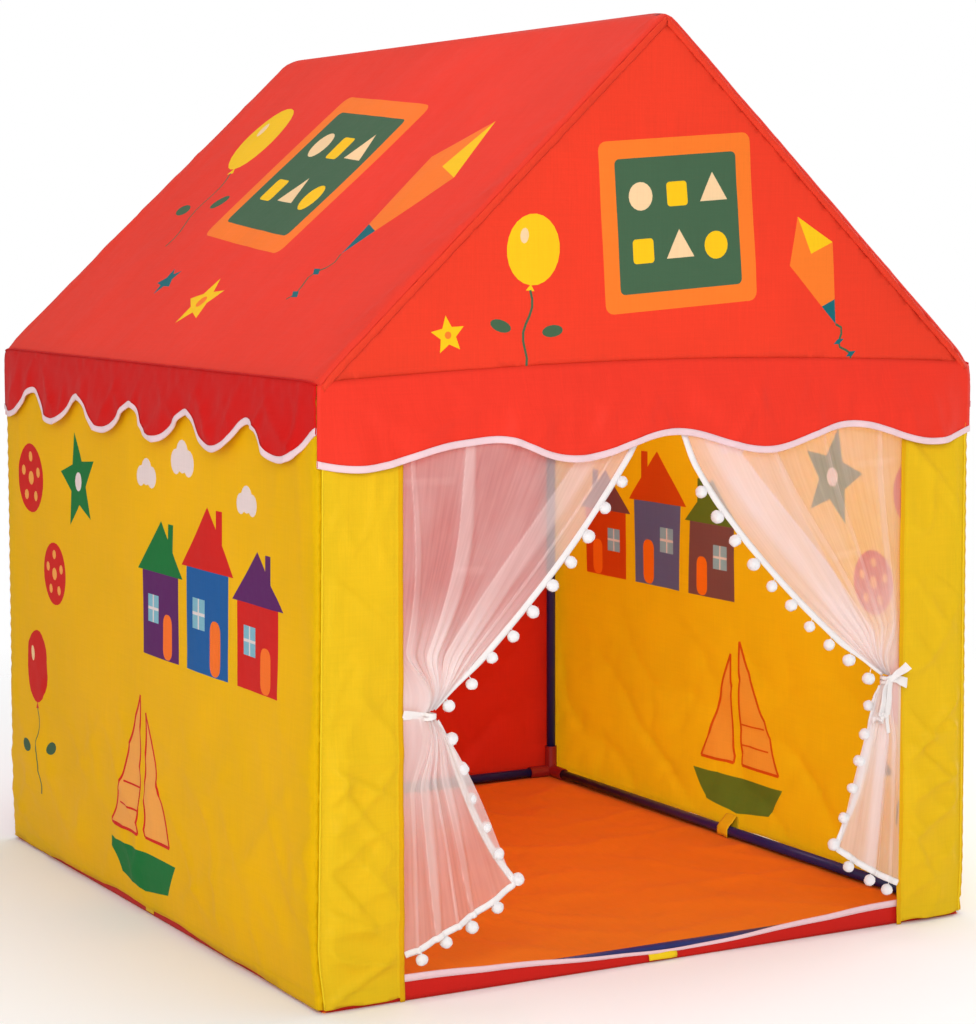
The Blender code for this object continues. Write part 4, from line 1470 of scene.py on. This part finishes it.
def add_curtain(side, tail):
    """One sheer sheet, the upper drape or the tail."""
    formula = tail_point if tail else drape_point
    columns, rows = tail_grid if tail else drape_grid
    spots = []

    def place(across, down):
        spots.append((across, down))
        return door_place(side, formula(side, across, down))

    name = f"curtain_tail_{side}" if tail else f"curtain_{side}"
    mesh = mesh_from(name, grid_of(columns, rows, place))
    face_outwards(mesh, (0, -1, 0))
    level_runs = [[(share, down) for share in shares(columns)] for down in (0, 1)]
    upright_runs = [[(across, share) for share in shares(rows)] for across in (0, 1)]
    width = max(run_length(side, formula, run) for run in level_runs)
    height = max(run_length(side, formula, run) for run in upright_runs)
    mesh.color_attributes.new("print", "FLOAT_COLOR", "CORNER")
    uv, ink = mesh.uv_layers["flat"], mesh.color_attributes["print"]
    for loop in mesh.loops:
        across, down = spots[loop.vertex_index]
        uv.data[loop.index].uv = (across * width, down * height)
        ink.data[loop.index].color = (1, 1, 1, density(side, across, down, tail))
    piece = add_piece(name, mesh, f"tail_{side}" if tail else "cover", looks["sheer"], name)


# A pompom's core, broad lumps, small bumps and longer axis, and its fibres, as shares of its
# radius
ball_core, ball_lumps, ball_bumps, ball_longer = 0.93, 0.09, 0.05, 0.08
fibre_count = 130
fibre_half_width, fibre_lean, fibre_root, fibre_tips = 0.035, 0.06, 0.86, (1.0, 1.10)
# How much pompoms differ: their radius, how far they lean out and their threads' length
pompom_sizes, pompom_leans, thread_lengths = (0.88, 1.08), (0.45, 0.85), (0.4, 2.2)
pompom_fall = 0.75
# The trim's tape: how it waves and bulges, how far it laps over the curtain and past its own
# width, and how it narrows: a lapped one from a share of its length, another at its start
trim_ruffle, trim_bulge, trim_under, trim_past = 0.0009, 0.0007, 0.0014, 0.0008
trim_end_from, trim_end_reach, trim_start_points, trim_narrowing = 0.78, 0.16, 12, 0.65


def scattered(draw):
    """A random vector."""
    return Vector((draw.gauss(0, 1), draw.gauss(0, 1), draw.gauss(0, 1)))


def fluffy_ball(target, centre, radius, seed):
    """A pompom: an uneven ball with short fibres all over, added to a bmesh."""
    draw = random.Random(seed)
    longer = scattered(draw).normalized()
    made = bmesh.ops.create_icosphere(target, subdivisions=3, radius=1, matrix=Matrix.Identity(4))["verts"]
    for vert in made:
        out = vert.co.normalized()
        rough = ball_lumps * noise.noise(out * 1.6 + Vector((seed, 0, 0)))
        rough += ball_bumps * noise.noise(out * 7 + Vector((0, seed, 0)))
        vert.co = centre + out * radius * (ball_core + rough + ball_longer * abs(out.dot(longer)))
    for _ in range(fibre_count):
        out = scattered(draw).normalized()
        side = out.orthogonal().normalized() * radius * fibre_half_width
        lean = scattered(draw) * radius * fibre_lean
        base = centre + out * radius * fibre_root
        tip = centre + out * radius * draw.uniform(*fibre_tips) + lean
        spots = (base + side, base - side, base + out.cross(side), tip)
        corners = [target.verts.new(spot) for spot in spots]
        for a, b, c in ((0, 1, 3), (1, 2, 3), (2, 0, 3), (0, 2, 1)):
            target.faces.new((corners[a], corners[b], corners[c]))


def add_trim(name, side, formula, route, body, lapped=0):
    """White tape along a curtain's edge, with pompoms on short threads. Over its first lapped
    points the tape moves out from the face of the curtain, and has no pompoms."""
    points = [door_place(side, formula(side, *spot)) for spot in route]
    last = len(points) - 1
    smooth, outwards = [], []
    for index in range(len(points)):
        near = points[max(index - 2, 0) : index + 3]
        smooth.append(sum(near, Vector()) / len(near))
    for index in range(len(points)):
        along = smooth[min(index + 2, last)] - smooth[max(index - 2, 0)]
        outwards.append(Vector((-along.z, 0, along.x)).normalized() * -sides[side])

    def tape_point(ahead, share):
        index = round(ahead * last)
        ruffle = noise.noise(Vector((index * 0.16, share * 2, last + 1))) * trim_ruffle
        bulge = Vector((0, -trim_bulge * math.sin(math.pi * share) + ruffle, 0))
        lap = tape_width * (1 - smooth_step(index / lapped)) if lapped else 0.0
        if lapped:
            ended = smooth_step((index / last - trim_end_from) / trim_end_reach)
        else:
            ended = 1 - smooth_step(index / trim_start_points)
        width = tape_width * (1 - trim_narrowing * ended)
        reach = mix(-trim_under, width + trim_past, share) + ruffle * share - lap
        return points[index] + outwards[index] * reach + bulge - Vector((0, 0.1 * lap, 0))

    tape = grid_of(last, 3, tape_point)
    finish_strip(f"{name}_tape", tape, body, "tape", (0, -1, 0), None, trim_thickness)
    points, outwards = points[lapped:], outwards[lapped:]
    lengths = [(b - a).length for a, b in zip(points, points[1:])]
    total = sum(lengths)
    count = round(total / pompom_spacing)
    balls = bmesh.new()
    for number in range(count):
        draw = random.Random(f"{name}{number}")
        ahead = (number + 0.5) / count * total
        index = 0
        while ahead > lengths[index]:
            ahead -= lengths[index]
            index += 1
        share = ahead / lengths[index]
        edge = points[index].lerp(points[index + 1], share)
        out = outwards[index].lerp(outwards[index + 1], share).normalized()
        radius = pompom_radius * draw.uniform(*pompom_sizes)
        start = edge + out * (tape_width - 0.003)
        hang = (out * draw.uniform(*pompom_leans) + Vector((0, 0, -pompom_fall))).normalized()
        middle = start + hang * (thread_length * draw.uniform(*thread_lengths) + pompom_radius)
        knee = start.lerp(middle, 0.4) + Vector((draw.uniform(-0.001, 0.001), -0.0008, 0.001))
        tube_along(balls, [start, knee, middle], thread_radius)
        fluffy_ball(balls, middle, radius, draw.uniform(0, 90))
    add_piece(name, mesh_from(name, balls, False), body, looks["fluff"], name)


def strap(target, points, width_way, width):
    """A flat band of cloth through points, added to a bmesh as a closed strip. Its width goes
    from one value to another."""
    rings = []
    for index, point in enumerate(points):
        along = way_along(points, index)
        broad = mix(*width, index / (len(points) - 1))
        wide = (width_way - along * width_way.dot(along)).normalized() * broad / 2
        up = along.cross(wide).normalized() * ribbon_thickness / 2
        corners = (wide + up, -wide + up, -wide - up, wide - up)
        rings.append([target.verts.new(point + corner) for corner in corners])
    loft(target, rings)


# The bow's two loops and two hanging ends: control points as (across, up) from the knot, the
# width at both ends, and the way that the ribbon is wide
bow_up, bow_across = Vector((0, 0.2, 1)), Vector((1, 0.25, 0.2))
bow_parts = (
    (((0, 0), (0.010, 0.002), (0.018, -0.004), (0.030, -0.008)), (0.0090, 0.0150), bow_up),
    (((0, 0), (0.006, 0.006), (0.012, 0.014), (0.019, 0.021)), (0.0070, 0.0130), bow_up),
    (((0, 0), (-0.006, -0.012), (-0.008, -0.030), (-0.010, -0.052)), (0.0160, 0.0270), bow_across),
    (((-0.010, -0.052), (-0.014, -0.058), (-0.022, -0.052), (-0.032, -0.058)), (0.0230, 0.0150), bow_across),
    (((0, 0), (-0.002, -0.014), (-0.010, -0.034), (-0.004, -0.078)), (0.0100, 0.0070), bow_across),
)


# The ribbon's two turns round the gather, as (height, tilt)
ribbon_turns = ((-0.0036, 0.0014), (0.0002, -0.0014))


def add_ribbon(side):
    """The ribbon round the gather and to the jamb, with a bow on the right one."""
    centre = door_place(side, (tie_inset[side], drape_depth, tie_height[side]))
    sign = sides[side]
    band = bmesh.new()
    radius = bunch_radius + ribbon_gap
    for level, tilt in ribbon_turns:
        ring = []
        for share in shares(24):
            cos, sin = math.cos(2 * math.pi * share), math.sin(2 * math.pi * share)
            ring.append(centre + Vector((radius * cos, radius * sin, level + tilt * cos)))
        strap(band, ring, Vector((0, 0, 1)), (ribbon_width, ribbon_width))
    edge = Vector((sign * door_half, -half_depth - 0.001, centre.z + 0.002))
    start = centre + Vector((sign * (bunch_radius + 0.001), -strap_depth[side], 0))
    points = [start.lerp(edge, share) for share in (0, 0.3, 0.65, 1.0)]
    strap(band, points, Vector((0, -0.40, 1)), strap_width)
    if side == "right":
        front = centre + Vector((0, -bunch_radius - knot_stand, 0))
        for vert in bmesh.ops.create_icosphere(band, subdivisions=2, radius=1)["verts"]:
            vert.co = front + vert.co * Vector(knot_radii)
        for number, (controls, width, way) in enumerate(bow_parts):
            points = []
            for step, share in enumerate(shares(10)):
                spot = bezier([Vector((x, 0, z)) for x, z in controls], share)
                ripple = 0.0010 * math.sin(step * 0.9 + number)
                depth = ripple + 0.0006 * number + bow_lean * max(0.0, spot.z)
                points.append(front + spot + Vector((0, -depth, 0)))
            strap(band, points, way, width)
    name = f"ribbon_{side}"
    mesh = mesh_from(name, band)
    mesh.shade_flat()
    add_piece(name, mesh, f"tail_{side}", looks["tape"], name)


def build_curtains():
    """Two sheer curtains with their trims and ties."""
    rows = drape_grid[1]
    upper_route = [(1.0, row / rows) for row in range(9, rows + 1)]
    columns, rows = tail_grid
    tail_route = [(1.0, row / rows) for row in range(2, rows)]
    tail_route += [(column / columns, 1.0) for column in range(columns, -1, -1)]
    for side in sides:
        add_curtain(side, False)
        add_ribbon(side)
        add_curtain(side, True)
        add_trim(f"pompom_trim_upper_{side}", side, drape_point, upper_route, "cover", 14)
        add_trim(f"pompom_trim_tail_{side}", side, turned_point, tail_route, f"tail_{side}")


# Frame and mat


def build_tubes():
    """A smooth coated tube in place of each faceted one."""
    for name in sorted(frame["nodes"]):
        if not any(kind in name for kind in ("tube", "upright", "rafter")):
            continue
        low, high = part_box(name)
        start, end = (low + high) / 2, (low + high) / 2
        if name.startswith("rafter"):
            hand = sides[name.rsplit("_", 1)[1]]
            sizes = high - low
            across = sizes.x - 2 * tube_radius * math.sin(slope)
            reach = Vector((across, 0, sizes.z - 2 * tube_radius * math.cos(slope))) / 2
            start += Vector((hand * reach.x, 0, -reach.z))
            end += Vector((-hand * reach.x, 0, reach.z))
        else:
            axis = max(range(3), key=lambda number: (high - low)[number])
            start[axis], end[axis] = low[axis], high[axis]
        tube = bmesh.new()
        bmesh.ops.create_cone(
            tube, cap_ends=False, segments=tube_segments, radius1=tube_radius, radius2=tube_radius,
            depth=(end - start).length,
        )
        turn = (end - start).to_track_quat("Z", "Y").to_matrix().to_4x4()
        bmesh.ops.transform(tube, matrix=Matrix.Translation((start + end) / 2) @ turn, verts=tube.verts)
        mesh = mesh_from(name, tube, False)
        mesh.set_sharp_from_angle(angle=sharp_angle)
        thicken(add_piece(f"{name}_coated", mesh, "frame", looks["tube"], name), tube_wall, 0, -1.0)


def dress_connectors():
    """The moulded connectors keep their solids, with rounded edges and grained plastic."""
    for name, node in frame["nodes"].items():
        if "connector" in name:
            for place in node.material_slots:
                place.material = looks["connector"]
            edges = node.modifiers.new("rounded edges", "BEVEL")
            edges.width = connector_rounding
            edges.segments = 2
            edges.limit_method = "ANGLE"
            edges.angle_limit = sharp_angle


mat_creases = ((0.0040, 201.0, 0.16, 2.4, 18), (0.0030, 205.0, 0.13, 2.0, -52))
mat_fine_creases = ((0.0012, 213.0, 0.05, 2.0, 75),)
mat_swell, mat_swell_seed, mat_swell_size = 0.0026, 209.0, 0.10


def build_mat():
    """The orange floor with soft creases."""
    low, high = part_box("floor_mat")
    length, width = high.y - low.y, high.x - low.x
    far_a, far_b = width - mat_inset, length - mat_inset
    outline = [(mat_inset, mat_inset), (far_a, mat_inset), (far_a, far_b), (mat_inset, far_b)]
    mesh, flat = flat_mesh("floor_mat", outline, [], [], mat_step)
    places = []
    for a, b in flat:
        edge = min(a, width - a, b, length - b)
        rise = summed(creases, a, b, 0.0, mat_creases)
        rise += mat_swell * (1 + waves(a, b, mat_swell_seed, mat_swell_size)) / 2
        rise += summed(creases, a, b, 0.0, mat_fine_creases)
        level = high.z + surface_gap + rise * smooth_step(edge / 0.05) - cloth_thickness / 2
        places.append((low.x + a, low.y + b, level))
    lay(mesh, places, (0, 0, 1))
    piece = add_piece("floor_mat_cloth", mesh, "frame", looks["mat"], "floor_mat")
    thicken(piece, mat_thickness, 0, -1.0)


def round_mat(distance, half_x, half_y):
    """A point on the mat's edge, by its distance round from the front left corner, and the
    direction out from it. Corners are rounded."""
    x, y = half_x - band_inset, half_y - band_inset
    near_x, near_y = x - mat_corner, y - mat_corner
    corners = ((near_x, -near_y), (near_x, near_y), (-near_x, near_y), (-near_x, -near_y))
    starts = ((-near_x, -y), (x, -near_y), (near_x, y), (-x, near_y))
    ways = ((1, 0), (0, 1), (-1, 0), (0, -1))
    bend = mat_corner * math.pi / 2
    for start, corner, along, length in zip(starts, corners, ways, (2 * x, 2 * y, 2 * x, 2 * y)):
        straight = length - 2 * mat_corner
        way = Vector((*along, 0))
        out = Vector((way.y, -way.x, 0))
        if distance <= straight:
            return Vector((*start, 0)) + way * distance, out
        distance -= straight
        if distance <= bend:
            angle = distance / mat_corner
            turned_out = out * math.cos(angle) + way * math.sin(angle)
            return Vector((*corner, 0)) + turned_out * mat_corner, turned_out
        distance -= bend
    return Vector((*starts[0], 0)), Vector((0, -1, 0))


# The band's upright wall as heights, and its tape as (height from the band's top, which face)
band_heights = (0.0004, 0.008, 0.015, 0.022)
band_lap = 0.002
band_tape = (
    (-0.003, 0.9), (0.002, 1.0), (0.0055, 0.8), (0.0066, 0.0), (0.0055, -0.8), (0.002, -1.0), (-0.003, -0.9),
)
band_columns = 900
band_face = 0.0012
# The band is loose in the middle of the doorway, and low along the sides and the back, less
# so on the left
band_loose_half, band_loose_ramp = 0.37, 0.1
band_low_from, band_low_ramp, band_low_left = 0.03, 0.12, 0.2
# Its sway out and its rise, with how long their waves are, and how much more where it is loose
band_sway, band_sway_loose, band_sway_size = 0.0007, 0.0026, 0.09
band_sway_most, band_sway_most_loose = 0.0012, 0.003
band_belly = 0.0012
band_rise, band_rise_size = 0.0012, 0.13


def build_band():
    """The red band round the mat with the white tape folded over its top."""
    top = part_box("mat_band")[1]
    around = 4 * (top.x + top.y) - 8 * mat_corner + 2 * math.pi * mat_corner
    cloth_profile = [(z, 0) for z in (*band_heights, top.z + band_lap)]
    tape_profile = [(top.z + z, face) for z, face in band_tape]
    for name, look, slot, thickness, profile in (
        ("mat_band", "band", "mat_band", cloth_thickness, cloth_profile),
        ("mat_binding", "edging", "binding", tape_thickness, tape_profile),
    ):
        shape = bmesh.new()
        rings = []
        for column in range(band_columns):
            distance = around * column / band_columns
            spot, out = round_mat(distance, top.x, top.y)
            middle = 0.0
            if spot.y < 0 and out.y < -0.9:
                middle = smooth_step((band_loose_half - abs(spot.x)) / band_loose_ramp)
            slump = smooth_step((spot.y + top.y - band_low_from) / band_low_ramp)
            slump *= band_low_left if spot.x < -top.x + 0.02 else 1.0
            sag = band_sag * middle * bell(spot.x - band_sag_at, band_sag_reach)
            ring = []
            for z, face in profile:
                loose = z / top.z
                sway = noise.noise(Vector((distance / band_sway_size, z * 30, 3.0)))
                sway *= band_sway + band_sway_loose * middle
                sway = min(sway * loose, band_sway_most + band_sway_most_loose * middle)
                sway += slump * band_belly * math.sin(math.pi * min(1.0, loose))
                rise = band_rise * noise.noise(Vector((distance / band_rise_size, 7.0, 1.0))) * loose
                rise -= (slump * band_slump + sag) * loose
                place = spot + out * (sway + face * band_face) + Vector((0, 0, z + rise))
                ring.append(shape.verts.new(place))
            rings.append(ring)
        for ring, after in zip(rings, rings[1:] + rings[:1]):
            for step in range(len(profile) - 1):
                shape.faces.new((ring[step], after[step], after[step + 1], ring[step + 1]))
        bmesh.ops.recalc_face_normals(shape, faces=shape.faces)
        finish_strip(name + "_cloth", shape, "frame", look, None, name, thickness)


# A loop's route over the band and round the tube, as (out from its outer face, height). Of
# the front one only the outer part shows.
loop_route = (
    (0.0, 0.003), (0.0, 0.012), (0.0, 0.024), (-0.0002, 0.0345), (-0.0022, 0.0372), (-0.005, 0.0366),
    (-0.012, 0.028), (-0.018, 0.0235), (-0.0226, 0.017), (-0.0228, 0.010), (-0.0222, 0.004),
)
front_loop_route = (
    (0.0018, 0.0025), (0.0020, 0.0055), (0.0016, 0.0085), (0.0004, 0.0107), (-0.0010, 0.0122),
)
loop_columns = 8


def build_loops():
    """The yellow loops that hold band and tube together."""
    for turn, name in enumerate(("front", "right", "back", "left")):
        node = f"mat_loop_{name}"
        low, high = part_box(node)
        middle = (low + high) / 2
        along = Matrix.Rotation(turn * math.pi / 2, 3, "Z")
        outer = (half_depth if name in ends else half_width) - loop_inset
        front = name == "front"
        shape = bmesh.new()
        rings = []
        for index, (out, z) in enumerate(front_loop_route if front else loop_route):
            width = front_loop_width - 0.35 * max(0.0, 0.006 - z) if front else loop_width
            ring = []
            for share in shares(loop_columns):
                lift = 0.0004 * math.sin(share * 7 + index)
                spot = along @ Vector(((share - 0.5) * width, -(outer + out) - lift, z + lift))
                if name in ends:
                    spot.x += middle.x
                else:
                    spot.y += middle.y
                ring.append(shape.verts.new(spot))
            rings.append(ring)
        for ring, after in zip(rings, rings[1:]):
            bridge(shape, ring, after, False)
        bmesh.ops.recalc_face_normals(shape, faces=shape.faces)
        finish_strip(f"{node}_cloth", shape, "frame", "loop", None, node, loop_thickness)


# Stage


def build_floor():
    """A pale floor that keeps the object's shadow, and fades out to the white behind."""
    ground = bmesh.new()
    bmesh.ops.create_circle(ground, cap_ends=True, segments=96, radius=floor_radius)
    mesh = bpy.data.meshes.new("studio_floor")
    ground.to_mesh(mesh)
    ground.free()
    floor = new_object("studio_floor", mesh)
    floor.location.z = -floor_drop
    look = new_look("studio floor", 0.9)
    look.set({"Base Color": paint(250, 250, 250), "Specular IOR Level": 0.1})
    away = look.add("VectorMath", {0: look.place()}, operation="LENGTH").outputs["Value"]
    fade = look.span(away, 0.0, 1.0, white_from, white_to)
    seen = look.add("LightPath").outputs
    rays = look.math("MAXIMUM", seen["Is Camera Ray"], seen["Is Glossy Ray"])
    rays = look.math("MAXIMUM", rays, seen["Is Transmission Ray"])
    look.layer(look.math("MULTIPLY", fade, rays), look.shader, look.add("BsdfTransparent"))
    mesh.materials.append(look.material)


def build_world():
    """An even sky that is white where the camera sees it."""
    world = bpy.data.worlds.new("studio")
    bpy.context.scene.world = world
    sky = Look(world, "Background", "World Output")
    white = (1, 1, 1, 1)
    sky.set({"Color": white, "Strength": sky_strength})
    seen = sky.add("LightPath").outputs
    white_back = sky.add("Background", {"Color": white, "Strength": 1.0})
    rays = sky.math("MAXIMUM", seen["Is Camera Ray"], seen["Is Transmission Ray"])
    sky.layer(rays, sky.shader, white_back)


def add_light(name, kind, place, power, size):
    """A lamp that the camera doesn't see."""
    lamp = bpy.data.lights.new(name, kind)
    lamp.energy = power
    if kind == "AREA":
        lamp.size = size
    else:
        lamp.shadow_soft_size = size
    item = new_object(name, lamp)
    item.location = place
    item.visible_camera = False
    return item


def add_lamp(name, place, target, size, power):
    """A soft square lamp that faces a point."""
    item = add_light(name, "AREA", place, power, size)
    item.rotation_mode = "QUATERNION"
    item.rotation_quaternion = (Vector(target) - Vector(place)).to_track_quat("-Z", "Y")


def build_camera():
    """The photograph's camera, fitted to the tent's corners."""
    data = bpy.data.cameras.new("camera")
    data.sensor_width = sensor_width
    data.lens = focal_pixels / frame_pixels * data.sensor_width
    data.clip_start = 0.1
    data.clip_end = 100.0
    camera = new_object("camera", data)
    # From the front left corner of the ground, in widths of the tent
    place = Vector((-half_width, -half_depth, 0)) + 2 * half_width * Vector((-1.40, -2.94, 0.96))
    yaw, pitch, roll = math.radians(29.1), math.radians(-5.92), math.radians(-0.16)
    turn = Matrix.Rotation(-yaw, 4, "Z") @ Matrix.Rotation(math.pi / 2 + pitch, 4, "X")
    camera.matrix_world = Matrix.Translation(place) @ turn @ Matrix.Rotation(roll, 4, "Z")
    bpy.context.scene.camera = camera


build_tubes()
dress_connectors()
build_mat()
build_band()
build_loops()
build_side_walls()
build_jambs()
build_gable()
build_back_wall()
build_roof()
build_rake_facings()
build_eave_seams()
for number, (place, sign) in enumerate((*ends.items(), *sides.items())):
    add_valance(place, sign, place in ends, 160.0 + 7 * number)
soften_corners()
build_curtains()
build_floor()
build_world()
add_lamp("key", (-2.3, -4.6, 2.3), (0, -0.2, 0.55), 1.9, 122)
add_lamp("fill", (-4.5, -0.8, 1.8), (0, 0, 0.6), 2.5, 22)
add_lamp("right", (4.6, 0.2, 1.6), (0, 0, 0.5), 2.5, 85)
add_lamp("top", (0.5, 0.5, 4.5), (0, 0, 0.6), 3.0, 70)
add_light("inner", "POINT", (0.0, -0.12, 0.90), 5.2, 0.22)
build_camera()
bpy.context.scene.view_settings.view_transform = "Standard"
